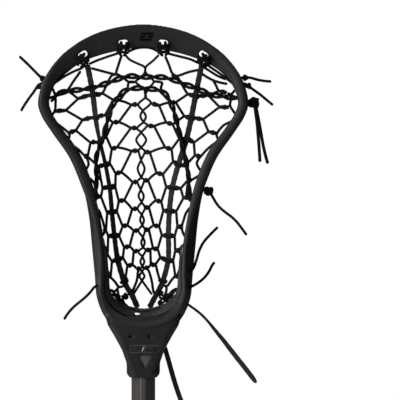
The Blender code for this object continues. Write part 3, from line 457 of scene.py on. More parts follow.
def placed(name, mesh, paint, body="stick", sharp=None):
    """A piece of the object, with its normals outwards, riding on its body."""
    tidy = bmesh.new()
    tidy.from_mesh(mesh)
    bmesh.ops.recalc_face_normals(tidy, faces=tidy.faces)
    tidy.to_mesh(mesh)
    tidy.free()
    mesh.shade_smooth()
    if sharp:
        mesh.set_sharp_from_angle(angle=math.radians(sharp))
    obj = bpy.data.objects.new(name, mesh)
    bpy.context.scene.collection.objects.link(obj)
    mesh.materials.append(paint)
    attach(obj, body)
    return obj


def end_taper(run, radius):
    """Radius factors that round off both ends of a run."""
    near = np.minimum(run, run[-1] - run) / radius
    return np.sqrt(np.clip(1 - (1 - np.clip(near, 0, 1)) ** 2, 0.04, 1))


def around(centre, across, out, wide, deep):
    """Points so far across and so far out of a centre, or of each point of a path."""
    return centre + across * wide[:, None] + out * deep[:, None]


def rope(skins, points, radius, ply=2, lay=3.4, depth=0.22, step=STEP, sides=10, braid=False):
    """A round string in millimetres along a smooth path, its plies laid round it."""
    path = along(points, step) if len(points) < 60 else np.array(points, float)
    _, across, out = carried_frame(path)
    run = run_of(path)
    turn = 2 * math.pi * np.arange(sides) / sides
    lean = 2 * math.pi * run / lay
    crest = np.abs(np.cos(ply / 2 * (turn[None] - lean[:, None])))
    if braid:
        crest = np.maximum(crest, np.abs(np.cos(ply / 2 * (turn[None] + lean[:, None]))))
    reach = radius * (1 - depth * (1 - crest)) * end_taper(run, radius)[:, None]
    rings = (path[:, None] + reach[..., None] * np.cos(turn)[None, :, None] * across[:, None]
             + reach[..., None] * np.sin(turn)[None, :, None] * out[:, None])
    skins.add(rings * MM)


def rounded(wave, power):
    """A sine or cosine bent towards a square wave by a power under one."""
    return np.sign(wave) * np.abs(wave) ** power


def strap(skins, points, faces, width, thick, wave, seed, taper=None):
    """A flat thong with rounded edges, in millimetres, its face turned as faces(path) says."""
    path = along(points, 0.8)
    _, across, out = facing_frame(path, faces(path))
    run = run_of(path)
    turn = 2 * math.pi * np.arange(20) / 20
    ring = np.stack([rounded(np.cos(turn), 0.55), rounded(np.sin(turn), 0.75)], axis=1) / 2
    ripple = 1 + wave * (np.sin(run * 0.9 + seed) * 0.6 + np.sin(run * 2.3 + seed * 2) * 0.4)
    ends = end_taper(run, thick)
    if taper is not None:
        ends = ends * taper(run / run[-1])
    wide = (width * ripple * ends)[:, None, None]
    deep = (thick * (2 - ripple) * ends)[:, None, None]
    rings = (path[:, None] + wide * ring[None, :, :1] * across[:, None]
             + deep * ring[None, :, 1:] * out[:, None])
    skins.add(rings * MM)


def braided(skins, points, radius, lay=3.6, step=0.3, sides=14):
    """A braided string, as the knots and the free ends are."""
    rope(skins, points, radius, ply=4, lay=lay, depth=0.13, step=step, sides=sides, braid=True)


# ---- the net's surface


def rim_rows(count):
    return smooth_rows(RIM, count, closed_ends=True)


WALL_ROWS = rim_rows(6)
WALL_ROWS = WALL_ROWS[WALL_ROWS[:, 3] > 820.5]
WALL_ORDER = np.argsort(WALL_ROWS[:, 3])


def inner_half_width(z):
    return np.interp(z, WALL_ROWS[WALL_ORDER, 3], WALL_ROWS[WALL_ORDER, 2])


def net_y(x, z):
    """How far back the pocket lies, in millimetres: deepest at mid width."""
    heights = np.array(NET_Z) / MM
    middle = np.interp(z, heights, np.array(NET_MIDDLE_Y) / MM)
    edge = np.interp(z, heights, np.array(NET_SIDE_Y) / MM)
    across = np.minimum(1.0, np.abs(x) / inner_half_width(z))
    return middle + (edge - middle) * across**2


def on_net(points, lift=0.0):
    points = np.array(points, float)
    x, z = points[:, 0], points[:, 1]
    return np.stack([x, net_y(x, z) - lift, z], axis=1)


def net_normals(path, share=1.0):
    """Unit normals of the net, on its open side, at the points of a path in millimetres."""
    x, z = path[:, 0], path[:, 2]
    step = 1.0
    by_x = (net_y(x + step, z) - net_y(x - step, z)) / (2 * step)
    by_z = (net_y(x, z + step) - net_y(x, z - step)) / (2 * step)
    return unit(np.stack([by_x * share, -np.ones_like(x), by_z * share], axis=1))


# ---- materials


def link(tree, source, output, target, socket):
    tree.links.new(source.outputs[output], target.inputs[socket])


def noise(tree, coords, scale, detail=4.0, roughness=0.55, stretch=None):
    made = tree.nodes.new("ShaderNodeTexNoise")
    made.inputs["Scale"].default_value = scale
    made.inputs["Detail"].default_value = detail
    made.inputs["Roughness"].default_value = roughness
    if stretch:
        mapping = tree.nodes.new("ShaderNodeMapping")
        mapping.inputs["Scale"].default_value = stretch
        link(tree, coords, "Object", mapping, "Vector")
        link(tree, mapping, "Vector", made, "Vector")
    else:
        link(tree, coords, "Object", made, "Vector")
    return made


def ramp(tree, source, output, stops):
    made = tree.nodes.new("ShaderNodeValToRGB")
    elements = made.color_ramp.elements
    while len(elements) < len(stops):
        elements.new(0.5)
    for element, (place, colour) in zip(elements, stops):
        element.position = place
        element.color = (*colour, 1.0) if len(colour) == 3 else (*([colour[0]] * 3), 1.0)
    link(tree, source, output, made, "Fac")
    return made


def finish(name, dark, light, rough, grain, bump, depth, metallic=0.0, specular=0.5,
           patch=55.0, stretch=None, voronoi=False):
    """A procedural finish: patchy colour and roughness, and a fine grain as bump."""
    made = bpy.data.materials.new(name)
    made.use_nodes = True
    tree = made.node_tree
    shader = tree.nodes["Principled BSDF"]
    shader.inputs["Metallic"].default_value = metallic
    shader.inputs["Specular IOR Level"].default_value = specular
    coords = tree.nodes.new("ShaderNodeTexCoord")
    patches = noise(tree, coords, patch, stretch=stretch)
    colour = ramp(tree, patches, "Fac", [(0.3, dark), (0.72, light)])
    link(tree, colour, "Color", shader, "Base Color")
    wear = ramp(tree, noise(tree, coords, patch * 2.7, stretch=stretch), "Fac",
                [(0.3, (rough[0],)), (0.7, (rough[1],))])
    link(tree, wear, "Color", shader, "Roughness")
    if voronoi:
        fine = tree.nodes.new("ShaderNodeTexVoronoi")
        fine.inputs["Scale"].default_value = grain
        link(tree, coords, "Object", fine, "Vector")
        output = "Distance"
    else:
        fine, output = noise(tree, coords, grain, detail=6.0, stretch=stretch), "Fac"
    relief = tree.nodes.new("ShaderNodeBump")
    relief.inputs["Strength"].default_value = bump
    relief.inputs["Distance"].default_value = depth
    link(tree, fine, output, relief, "Height")
    link(tree, relief, "Normal", shader, "Normal")
    return made


NYLON = finish("head_nylon", (0.0095, 0.0095, 0.0096), (0.0140, 0.0140, 0.0142), (0.44, 0.56),
               2600.0, 0.22, 0.00008, specular=0.38)
BLACK_CORD = finish("shooter_cord", (0.0020, 0.0020, 0.0021), (0.0060, 0.0060, 0.0062),
                    (0.75, 0.92), 5200.0, 0.7, 0.00012, specular=0.22)
LACE_CORD = finish("lace_cord", (0.0040, 0.0040, 0.0042), (0.0100, 0.0100, 0.0104),
                   (0.70, 0.88), 5200.0, 0.7, 0.00012, specular=0.3)
THONG_SKIN = finish("runner_leather", (0.010, 0.010, 0.0105), (0.024, 0.024, 0.025),
                    (0.58, 0.78), 1500.0, 0.55, 0.00018, specular=0.35, voronoi=True)
FOAM = finish("ball_stop_foam", (0.030, 0.030, 0.030), (0.075, 0.075, 0.075), (0.85, 0.95),
              900.0, 0.9, 0.0005, specular=0.25, voronoi=True)
RUBBER = finish("cap_rubber", (0.010, 0.010, 0.010), (0.020, 0.020, 0.020), (0.70, 0.85),
                1800.0, 0.4, 0.00015, specular=0.3)
STEEL = finish("screw_steel", (0.16, 0.16, 0.165), (0.30, 0.30, 0.31), (0.28, 0.42),
               900.0, 0.2, 0.00005, metallic=1.0)
METAL = finish("shaft_paint", (0.088, 0.0790, 0.0715), (0.116, 0.1045, 0.0945), (0.36, 0.46),
               2400.0, 0.12, 0.00005, metallic=0.35, stretch=(1.0, 1.0, 0.06))
MARK = finish("white_print", (0.62, 0.62, 0.61), (0.80, 0.80, 0.79), (0.45, 0.55),
              1800.0, 0.1, 0.00003)
DARK_MARK = finish("dark_print", (0.0015, 0.0015, 0.0016), (0.003, 0.003, 0.0032), (0.60, 0.75),
                   1800.0, 0.1, 0.00003, specular=0.08)
GREY_MARK = finish("grey_print", (0.020, 0.020, 0.019), (0.034, 0.034, 0.032), (0.35, 0.5),
                   1800.0, 0.1, 0.00003)
LIGHT_MARK = finish("light_print", (0.60, 0.60, 0.59), (0.75, 0.75, 0.74), (0.35, 0.5),
                    1800.0, 0.1, 0.00003)
WINDOW_GREY = finish("window_grey", (0.075, 0.075, 0.073), (0.105, 0.105, 0.102), (0.40, 0.55),
                     2200.0, 0.15, 0.00004)


# ---- camera, light and floor


def add_camera():
    data = bpy.data.cameras.new("camera")
    data.sensor_width = SENSOR
    data.lens = SENSOR * CAMERA_DISTANCE / FRAME_WIDTH
    data.clip_start, data.clip_end = 0.05, 60.0
    camera = bpy.data.objects.new("camera", data)
    camera.location = (CAMERA_X, -CAMERA_DISTANCE, CAMERA_Z)
    camera.rotation_euler = (math.radians(90), 0, 0)
    bpy.context.scene.collection.objects.link(camera)
    bpy.context.scene.camera = camera


def add_area(name, place, target, size, power):
    data = bpy.data.lights.new(name, "AREA")
    data.shape, data.size, data.size_y = "RECTANGLE", *size
    data.energy = power
    light = bpy.data.objects.new(name, data)
    light.location = place
    light.rotation_euler = (Vector(target) - Vector(place)).to_track_quat("-Z", "Y").to_euler()
    light.visible_camera = False
    bpy.context.scene.collection.objects.link(light)


def add_surroundings():
    """A white background that gives the object only a little light."""
    world = bpy.data.worlds.new("studio")
    bpy.context.scene.world = world
    world.use_nodes = True
    tree = world.node_tree
    tree.nodes.clear()
    mix = tree.nodes.new("ShaderNodeMixShader")
    link(tree, tree.nodes.new("ShaderNodeLightPath"), "Is Camera Ray", mix, 0)
    for place, strength in ((1, AMBIENT), (2, 1.0)):
        sky = tree.nodes.new("ShaderNodeBackground")
        sky.inputs["Strength"].default_value = strength
        sky.inputs["Color"].default_value = (1, 1, 1, 1)
        link(tree, sky, 0, mix, place)
    link(tree, mix, 0, tree.nodes.new("ShaderNodeOutputWorld"), 0)
    bpy.context.scene.view_settings.view_transform = "Standard"


def add_floor():
    """A plain pale floor. Its own glow is seen, but lights nothing."""
    made = bmesh.new()
    bmesh.ops.create_circle(made, cap_ends=True, radius=FLOOR_RADIUS, segments=96)
    mesh = bpy.data.meshes.new("floor")
    made.to_mesh(mesh)
    made.free()
    floor = bpy.data.objects.new("floor", mesh)
    floor.location.z = FLOOR_Z
    bpy.context.scene.collection.objects.link(floor)
    paint = bpy.data.materials.new("floor_paint")
    paint.use_nodes = True
    shader = paint.node_tree.nodes["Principled BSDF"]
    shader.inputs["Base Color"].default_value = FLOOR_COLOUR
    shader.inputs["Roughness"].default_value = 0.8
    shader.inputs["Emission Color"].default_value = FLOOR_GLOW
    path = paint.node_tree.nodes.new("ShaderNodeLightPath")
    link(paint.node_tree, path, "Is Camera Ray", shader, "Emission Strength")
    mesh.materials.append(paint)


def add_studio():
    add_camera()
    add_surroundings()
    add_floor()
    for light in LIGHTS:
        add_area(*light)


# ---- free ends


def rolled(path, faces, places, angles):
    """The way a thong's face looks, rolled about its run by angles at shares of its length."""
    share = run_of(path) / run_of(path)[-1]
    roll = np.interp(share, places, angles)[:, None]
    side = unit(np.cross(unit(np.gradient(path, axis=0)), faces))
    return faces * np.cos(roll) + side * np.sin(roll)


def add_tail(name, width, route):
    """One free end as a laid cord or a flat thong."""
    points = np.array(route) / MM
    skins = Skins()
    if width == THONG:
        strap(skins, points, lambda path: rolled(path, FRONT[None], *TAIL_ROLL[name]),
              THONG / MM, THONG_THICK / MM, wave=0.03, seed=len(route),
              taper=lambda share: 1 - 0.45 * np.clip((share - 0.93) / 0.07, 0, 1) ** 2)
    else:
        width = round(width * TAIL_FULLNESS, 4)
        braided(skins, points, width / MM / 2, step=0.22, sides=20)
    piece = skins.made(name + "_cord", THONG_SKIN if width == THONG else BLACK_CORD)
    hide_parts(name)
    centre = along(np.array(route), 0.002)


# ---- pocket


def lace(skins, points, start=0.0, end=0.0):
    """A lace on the net, lifted by start at one end and by end at the other."""
    fine = smooth_rows(points, 6)
    lift = start + (end - start) * np.linspace(0, 1, len(fine))
    rope(skins, along(on_net(fine, lift), STEP), LACE)


def outer_of(bar):
    return np.array(bar[:2])


def inner_of(bar):
    return np.array(bar[2:])


def knot_bar(skins, bar):
    """Two laces wound round each other along a short bar, with a thinner one tied round both."""
    ends = on_net([outer_of(bar), inner_of(bar)])
    length = np.linalg.norm(ends[1] - ends[0])
    axis = (ends[1] - ends[0]) / length
    across = unit(np.cross(axis, net_normals(ends.mean(axis=0)[None])[0]))
    deep = np.cross(across, axis)
    short = min(0.16, 0.9 / length)  # a share of the bar left free at each end
    for lead in (0.0, 0.5):
        t = np.linspace(short, 1 - short, 24)
        angle = 2 * math.pi * (max(1.0, length / BAR_PITCH) * t + lead)
        swell = NETTING * (0.45 + 0.55 * np.sin(math.pi * t))
        path = around(ends[0] + axis * (length * t)[:, None], across, deep,
                      swell * np.cos(angle), swell * np.sin(angle))
        rope(skins, along(path, STEP), NETTING)
    t = np.linspace(0, 1, 30)
    angle = 2 * math.pi * TIE_TURNS * t + 0.8
    reach = TIE_REACH * NETTING
    middle = ends.mean(axis=0) + axis * ((t - 0.5) * min(2.2, 0.5 * length))[:, None]
    path = around(middle, across, deep, reach * np.cos(angle), reach * np.sin(angle))
    rope(skins, along(path, 0.4), TIE_RADIUS * NETTING)


def between(skins, start, end, start_bar, end_bar, sag=0.0):
    """A lace from the middle of one bar, out of its end, to the end of another and into it."""
    start_mid = (outer_of(start_bar) + inner_of(start_bar)) / 2
    end_mid = (outer_of(end_bar) + inner_of(end_bar)) / 2
    middle = (start + end) / 2 + np.array([0, -sag])
    lace(skins, [0.5 * (start_mid + start), start, middle, end, 0.5 * (end_mid + end)],
         0.35, -0.35)


def finish_netting(skins, name):
    """The odd laces of a node, and the piece they make with its other laces."""
    for points in ODD_LACES[name]:
        lace(skins, points)
    piece = skins.made(name + "_netting", LACE_CORD)
    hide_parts(name)


def add_inner_laces(side, name):
    """The three columns of bars between a runner and the middle, and the laces between them."""
    skins = Skins()
    edges, middles, inners = EDGE_BARS[side], MIDDLE_BARS[side], INNER_BARS[side]
    for bar in edges + middles + inners:
        knot_bar(skins, bar)
    for row, (edge, middle, inner) in enumerate(zip(edges, middles, inners)):
        between(skins, inner_of(edge), outer_of(middle), edge, middle)
        between(skins, inner_of(middle), outer_of(inner), middle, inner, sag=-0.5)
        if row + 1 < len(edges):
            below_edge, below_middle = edges[row + 1], middles[row + 1]
            between(skins, outer_of(middle), inner_of(below_edge), middle, below_edge)
            between(skins, outer_of(inner), inner_of(below_middle), inner, below_middle)
    finish_netting(skins, name)


def add_outer_laces(side, name):
    """The bars against a runner and against the sidewall string, and the laces between them."""
    skins = Skins()
    walls, runners = WALL_BARS[side], RUNNER_BARS[side]
    for bar in walls + runners:
        knot_bar(skins, bar)
    for row, runner in enumerate(runners):
        above, below = walls[row], walls[row + 1]
        between(skins, inner_of(above), outer_of(runner), above, runner)
        between(skins, inner_of(below), outer_of(runner), below, runner)
    finish_netting(skins, name)


def add_centre_pair():
    """Two laces that cross above and below each inner bar and open into an eye between."""
    skins = Skins()
    for side in (-1, 1):
        points = list(CENTRE_TOP[side])
        lifts = [0.0] * len(points)
        for row, (above, below) in enumerate(zip(CROSS_ABOVE, CROSS_BELOW)):
            points += [above, INNER_BARS[side][row][2:], below]
            lifts += [CROSS_LIFT * side, 0.0, -CROSS_LIFT * side]
            after = CROSS_ABOVE[row + 1] if row + 1 < len(CROSS_ABOVE) else CENTRE_LAST
            points.append(((below[0] + after[0]) / 2 - side * EYES[row],
                           (below[1] + after[1]) / 2))
            lifts.append(0.0)
        points += [CENTRE_LAST, CENTRE_END[side]]
        lifts += [CROSS_LIFT * side, 0.0]
        fine = smooth_rows(np.column_stack([points, lifts]), 6)
        rope(skins, along(on_net(fine[:, :2], fine[:, 2]), STEP), 0.9 * LACE)
    piece = skins.made("centre_strings_pair", LACE_CORD)
    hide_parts("centre_strings")


def add_sidewall_strings():
    for side, node in ((-1, "sidewall_string_left"), (1, "sidewall_string_right")):
        skins = Skins()
        for points in SIDEWALL[side]:
            path = on_net(smooth_rows(points, 6), SIDEWALL_LIFT)
            rope(skins, along(path, 0.4), SIDEWALL_RADIUS, ply=3, lay=4.6)
        piece = skins.made(node + "_cord", BLACK_CORD)
        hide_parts(node)


def add_runners():
    for side, node in ((-1, "runner_left"), (1, "runner_right")):
        path = on_net(smooth_rows(RUNNERS[side], 6), RUNNER_LIFT)
        skins = Skins()
        roll = RUNNER_ROLL[side]
        strap(skins, path[::3], lambda p: rolled(p, net_normals(p, 0.8), *roll),
              RUNNER_WIDTH, RUNNER_THICK, wave=0.07, seed=side)
        piece = skins.made(node + "_thong", THONG_SKIN)
        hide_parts(node)
        wraps = Skins()
        for height in [bar[3] for bar in RUNNER_BARS[side]] + [LAST_WRAP]:
            add_runner_wrap(wraps, side, height)
        wraps.made(node + "_wraps", LACE_CORD)


def runner_x(side, z):
    line = np.array(RUNNERS[side])[::-1]
    return float(np.interp(z, line[:, 1], line[:, 0]))


def add_runner_wrap(skins, side, z):
    """A lace taken twice round the runner where a row of bars meets it."""
    centre = on_net([(runner_x(side, z), z)], RUNNER_LIFT)[0]
    normal = net_normals(centre[None], 0.8)[0]
    line = np.array([runner_x(side, z + 4) - runner_x(side, z - 4), 0, 8.0])
    line = unit(line - normal * (line @ normal))
    across = np.cross(line, normal)
    angle = np.linspace(0.3, 4 * math.pi + 0.9, 60)
    wide = (RUNNER_WIDTH / 2 + WRAP_WIDE) * rounded(np.cos(angle), 0.8)
    deep = (RUNNER_THICK / 2 + WRAP_DEEP) * rounded(np.sin(angle), 0.8)
    shift = (angle / angle[-1] - 0.5) * WRAP_RISE + 0.4 * np.sin(angle / 2)
    path = around(centre, across, normal, wide, deep) + line * shift[:, None]
    rope(skins, path[::2], WRAP_RADIUS)


def add_shooters():
    """Each shooting string as two braided strings laid round each other."""
    for node, line, lift in (("shooting_string_upper", UPPER_SHOOTER, 4.6),
                             ("shooting_string_lower", LOWER_SHOOTER, 6.4)):
        skins = Skins()
        middle = along(on_net(smooth_rows(line, 6), lift), 0.7)
        run = run_of(middle)
        normals = net_normals(middle, 0.6)
        _, across, out = facing_frame(middle, normals)
        tight = np.interp(middle[:, 2], *SHOOTER_TIGHT)
        for lead in (0.0, math.pi):
            angle = 2 * math.pi * run / SHOOTER_LAY + lead
            swing = (SHOOTER_SWING + 0.25 * np.sin(run * 0.21 + lead)) * tight
            path = around(middle, across, out, swing * np.cos(angle), SHOOTER_OUT * np.sin(angle))
            rope(skins, along(path, 0.3), SHOOTER, ply=6, lay=5.0, depth=0.14, sides=18,
                 braid=True)
        piece = skins.made(node + "_pair", BLACK_CORD)
        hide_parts(node)


# ---- head frame

# How far the rim's front is crowned, by row of RIM, and the crown's own profile from the inner edge
CROWN = [0.3, 0.3, 0.6, 1.0, 1.25, 1.25, 1.2, 1.15, 1.0, 0.6, 0.4, 0.3, 0.2, 0.1, 0.0, 0.0]
CROWN_PROFILE = [(0.10, -0.35), (0.26, -0.9), (0.46, -1.2), (0.66, -1.05), (0.84, -0.35)]
CROWN_EDGE = 1.1
THROAT_FLARE = [0, 0, 0, 0, 0, 0, 0, 0, 0, 0, 0, 1.0, 3.5, 6.2, 8.0, 8.6]
HEAD_VOXEL = 0.00062
HOLE_RADIUS, HOLE_LENGTH = 0.0016, 0.016
DIMPLES = [(-0.0114, 0.7958), (0.0062, 0.7958)]
DIMPLE_RADII, DIMPLE_DEPTH, DIMPLE_Y = (0.0019, 0.0009), 0.0064, -0.0170
THROAT_GROOVE = [(0.0158, 0.8026), (0.0222, 0.7962), (0.0214, 0.7954), (0.0150, 0.8018)]
GROOVE_FLOOR = -0.0158
PAD_ROWS, PAD_FRONT, PAD_DEPTH, PAD_THICK = 42, -13.0, 25.5, 2.0
PAD_FLARE = 0.82  # of the wall's own flare
DRAIN_HOLE = [(-0.0086, 0, 0.8150), (-0.0026, 0, 0.8154), (-0.0034, 0, 0.8172),
              (-0.0082, 0, 0.8178)]


def loft(rings, close=False):
    made = bmesh.new()
    grid = [[made.verts.new(Vector(p)) for p in ring] for ring in rings]
    count = len(grid[0])
    pairs = list(zip(grid, grid[1:]))
    if close:
        pairs.append((grid[-1], grid[0]))
    for lower, upper in pairs:
        for i in range(count):
            j = (i + 1) % count
            made.faces.new((lower[i], lower[j], upper[j], upper[i]))
    if not close:
        made.faces.new(list(reversed(grid[0])))
        made.faces.new(grid[-1])
    bmesh.ops.recalc_face_normals(made, faces=made.faces)
    return made


def helper(made, name):
    """A hidden object for a Boolean."""
    mesh = bpy.data.meshes.new(name)
    made.to_mesh(mesh)
    made.free()
    return bpy.data.objects.new(name, mesh)


def prism(made, outline, low, high, axis):
    ends = [[made.verts.new(Vector(p) + axis * s) for p in outline] for s in (low, high)]
    count = len(outline)
    faces = [made.faces.new((ends[0][i], ends[0][(i + 1) % count], ends[1][(i + 1) % count],
                             ends[1][i])) for i in range(count)]
    faces += [made.faces.new(ends[0][::-1]), made.faces.new(ends[1])]
    bmesh.ops.recalc_face_normals(made, faces=faces)


def shaft_ring(z, scale=1.0, grow=0.0, flute=0.0, ease=0):
    """The shaft's octagon at a height, its slanting flats drawn in by the flute, corners eased."""
    half_w, half_d = SHAFT_WIDTH / 2 * scale, SHAFT_DEPTH / 2 * scale
    flat, side = SHAFT_FRONT_FLAT / 2 * scale, SHAFT_SIDE_FLAT / 2 * scale
    quarter = [(flat, -half_d), ((flat + half_w) / 2, -(half_d + side) / 2), (half_w, -side)]
    slant = Vector((half_d - side, -(half_w - flat), 0)).normalized()
    quarter[1] = (quarter[1][0] - slant.x * SHAFT_HOLLOW * flute,
                  quarter[1][1] - slant.y * SHAFT_HOLLOW * flute)
    points = quarter + [(x, -y) for x, y in quarter[::-1]]
    points += [(-x, -y) for x, y in quarter] + [(-x, y) for x, y in quarter[::-1]]
    if ease:
        points = eased(points, ease)
    ring = []
    for x, y in points:
        reach = 1 + grow / math.hypot(x, y)
        ring.append((x * reach, y * reach, z))
    return ring


def eased(points, radius):
    """The outline with every corner cut by a small arc of three points."""
    found = []
    count = len(points)
    for i, here in enumerate(points):
        here = np.array(here)
        before, after = np.array(points[i - 1]), np.array(points[(i + 1) % count])
        start = here + unit(before - here) * min(radius, 0.3 * np.linalg.norm(before - here))
        end = here + unit(after - here) * min(radius, 0.3 * np.linalg.norm(after - here))
        middle = 0.25 * start + 0.5 * here + 0.25 * end
        found += [tuple(start), tuple(middle), tuple(end)]
    return found


def rim_ring(side, row, flare, crown):
    """Corners of the rim's section: the front crowned, the throat's inner wall flared."""
    outer, inner = row[[0, 1]], row[[2, 3]]
    lip, lip_in, groove_in, wall_in, back_in = row[4:9]
    front_out, front_in, back_out, back_inner = row[9:13]
    inward = (inner - outer) / np.linalg.norm(inner - outer)
    step = 0.15 * (back_out - front_out - 2 * lip)
    deeper = min(1.0, lip_in / 4)
    first, last = inner - inward * flare, outer + inward * lip_in
    crowned = [(first + (last - first) * share,
                front_in + (front_out - front_in) * share + crown * out)
               for share, out in CROWN_PROFILE]
    corners = [
        (first, front_in),
        *crowned,
        (last, front_out + crown * CROWN_EDGE),
        (outer + inward * lip_in, front_out + lip),
        (outer + inward * (groove_in + deeper), front_out + lip + 0.3),
        (outer + inward * (groove_in + deeper), front_out + lip + step),
        (outer + inward * wall_in, back_out - lip - step),
        (outer + inward * back_in, back_out - lip),
        (outer + inward * back_in, back_out),
        (inner, back_inner),
        (inner, 0.5 * (back_inner + front_in) if flare > 0 else 0.2 * back_inner + 0.8 * front_in),
    ]
    return [(side * x * MM, y * MM, z * MM) for (x, z), y in corners]


def head_rows(count):
    """The rim's rows, and with each its flare and its crown."""
    rows = rim_rows(count)
    places = np.linspace(0, len(RIM) - 1, len(rows))
    flares, crowns = (np.interp(places, range(len(RIM)), by_row)
                      for by_row in (THROAT_FLARE, CROWN))
    return rows, flares, crowns


def build_rim():
    """The rim and the throat's wall as one closed loft, round both sides of the head."""
    stations = list(zip(*head_rows(7)))
    right = [rim_ring(1, *station) for station in stations]
    left = [rim_ring(-1, *station) for station in stations[-2:0:-1]]
    return helper(loft(right + left, close=True), "rim_base")


def throat_ring(z, half, flat, front, back):
    right = [(flat, front), (half, -THROAT_SIDE), (half, THROAT_SIDE), (flat, back)]
    return [(x, y, z) for x, y in right + [(-x, y) for x, y in right[::-1]]]


def window_cutters():
    rows = rim_rows(20) * MM
    made = bmesh.new()
    for start, end in WINDOWS:
        first, last = rows[round(start * 20)], rows[round(end * 20)]
        outer = [first[:2], last[:2]]
        front = [row[9] + WINDOW_EDGE for row in (first, last)]
        back = [row[11] - WINDOW_EDGE for row in (first, last)]
        tangent = unit(outer[1] - outer[0])
        lean = tangent * WINDOW_LEAN
        for side in (1, -1):
            outline = [(outer[0], front[0]), (outer[1] - lean, front[1]),
                       (outer[1], back[1]), (outer[0] + lean, back[0])]
            corners = [(side * x, y, z) for (x, z), y in outline]
            prism(made, corners, -0.020, 0.020, Vector((side * tangent[1], 0, -tangent[0])))
    return helper(made, "window_cutters")


def slot_cutters():
    made = bmesh.new()
    for x, z, lean in SLOTS:
        for side in (1, -1):
            turn = Matrix.Rotation(math.radians(-lean * side), 4, "Y")
            angles = np.linspace(0, 2 * math.pi, 24, endpoint=False)
            across = rounded(np.cos(angles), 0.5) * SLOT_WIDTH / 2
            up = rounded(np.sin(angles), 0.5) * SLOT_HEIGHT / 2
            outline = [turn @ Vector((a, 0, b)) + Vector((side * x, 0, z))
                       for a, b in zip(across, up)]
            prism(made, outline, -0.03, 0.02, Vector((0, 1, 0)))
    return helper(made, "slot_cutters")


def string_hole_cutters():
    """Round holes through the sidewalls where the sidewall strings and the tails pass."""
    made = bmesh.new()
    for side in (1, -1):
        for points in SIDEWALL[side]:
            z = points[-1][1]
            half = float(inner_half_width(z))
            y = float(net_y(half, z)) + 1.6
            centre = Vector((side * (half + 3), y, z)) * MM
            turn = Matrix.Rotation(math.radians(90), 4, "Y")
            bmesh.ops.create_cone(made, cap_ends=True, segments=14, radius1=HOLE_RADIUS,
                                  radius2=HOLE_RADIUS, depth=HOLE_LENGTH,
                                  matrix=Matrix.Translation(centre) @ turn)
    return helper(made, "string_hole_cutters")


def dimple_cutters():
    """Two dimples, a groove at each side of the throat and the drain hole."""
    made = bmesh.new()
    turn = Matrix.Rotation(math.radians(90), 4, "X")
    for x, z in DIMPLES:
        bmesh.ops.create_cone(made, cap_ends=True, segments=20, radius1=DIMPLE_RADII[0],
                              radius2=DIMPLE_RADII[1], depth=DIMPLE_DEPTH,
                              matrix=Matrix.Translation((x, DIMPLE_Y, z)) @ turn)
    for side in (1, -1):
        outline = [(side * x, 0, z) for x, z in THROAT_GROOVE]
        prism(made, outline, -0.030, GROOVE_FLOOR, Vector((0, 1, 0)))
    prism(made, DRAIN_HOLE, -0.03, 0.03, Vector((0, 1, 0)))
    return helper(made, "dimple_cutters")


def socket_cutter():
    """The bore that the shaft goes into, and the triangle in the throat's front."""
    made = loft([shaft_ring(SOCKET_BOTTOM, 1, GAP), shaft_ring(SOCKET_TOP, 1, GAP)])
    prism(made, [(x, 0, z) for x, z in THROAT_WINDOW], -0.025, -0.006, Vector((0, 1, 0)))
    return helper(made, "socket_cutter")


def screw_cutter():
    back = THROAT[2][4]
    rows = [(back + 0.004, SCREW_HEAD + GAP), (back - SCREW_HEAD_DEPTH - GAP, SCREW_HEAD + GAP),
            (back - SCREW_HEAD_DEPTH - GAP, SCREW_SHANK + GAP), (0.0065, SCREW_SHANK + GAP)]
    angles = np.linspace(0, 2 * math.pi, 32, endpoint=False)
    rings = [[(r * math.cos(a), y, SCREW_Z + r * math.sin(a)) for a in angles] for y, r in rows]
    return helper(loft(rings), "screw_cutter")


def mesh_of(obj):
    graph = bpy.context.evaluated_depsgraph_get()
    return bpy.data.meshes.new_from_object(obj.evaluated_get(graph))


def add_head_frame():
    """The CAD's solids again at a finer step, then one moulded skin with softened edges."""
    base = build_rim()
    cutters = [helper(loft([throat_ring(*row) for row in THROAT]), "throat_block"),
               socket_cutter(), window_cutters(), slot_cutters(), string_hole_cutters(),
               dimple_cutters(), screw_cutter()]
    scene = bpy.context.scene.collection
    for obj in [base] + cutters:
        scene.objects.link(obj)
    for index, cutter in enumerate(cutters):
        boolean = base.modifiers.new(cutter.name, "BOOLEAN")
        boolean.object = cutter
        boolean.operation = "DIFFERENCE" if index else "UNION"
        boolean.solver = "EXACT"
    remesh = base.modifiers.new("skin", "REMESH")
    remesh.mode = "VOXEL"
    remesh.voxel_size = HEAD_VOXEL
    soften = base.modifiers.new("soften", "SMOOTH")
    soften.factor, soften.iterations = 0.5, 9
    mesh = mesh_of(base)
    for obj in [base] + cutters:
        bpy.data.objects.remove(obj)
    piece = placed("head_frame_moulding", mesh, NYLON)
    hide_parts("head_frame")
    return piece


# ---- knots

# Name, the hole it comes from, its centre, its size, its string's radius and, where a string is
# also wound round it, how tall that is
RIM_KNOTS = [
    ("knot_left_upper", (-89.6, 2.0, 1035.4), (-94.0, 1.0, 1035.6), 2.0, 1.25, None),
    ("knot_left_lower", (-92.6, 2.0, 1027.4), (-97.2, 1.0, 1027.8), 2.0, 1.25, None),
    ("knot_right_upper", (89.6, 2.0, 1035.8), (95.0, 1.0, 1036.0), 2.1, 1.25, None),
    ("knot_right_lower", (92.6, 2.0, 1029.0), (97.8, 1.0, 1028.4), 2.1, 1.25, None),
    ("knot_right_large", (95.0, 2.0, 1013.0), (102.6, 1.0, 1012.7), 4.2, 1.55, 1.12),
    ("knot_right_middle", (54.0, 6.0, 931.6), (60.6, 6.0, 930.8), 3.4, 1.55, 1.0),
]

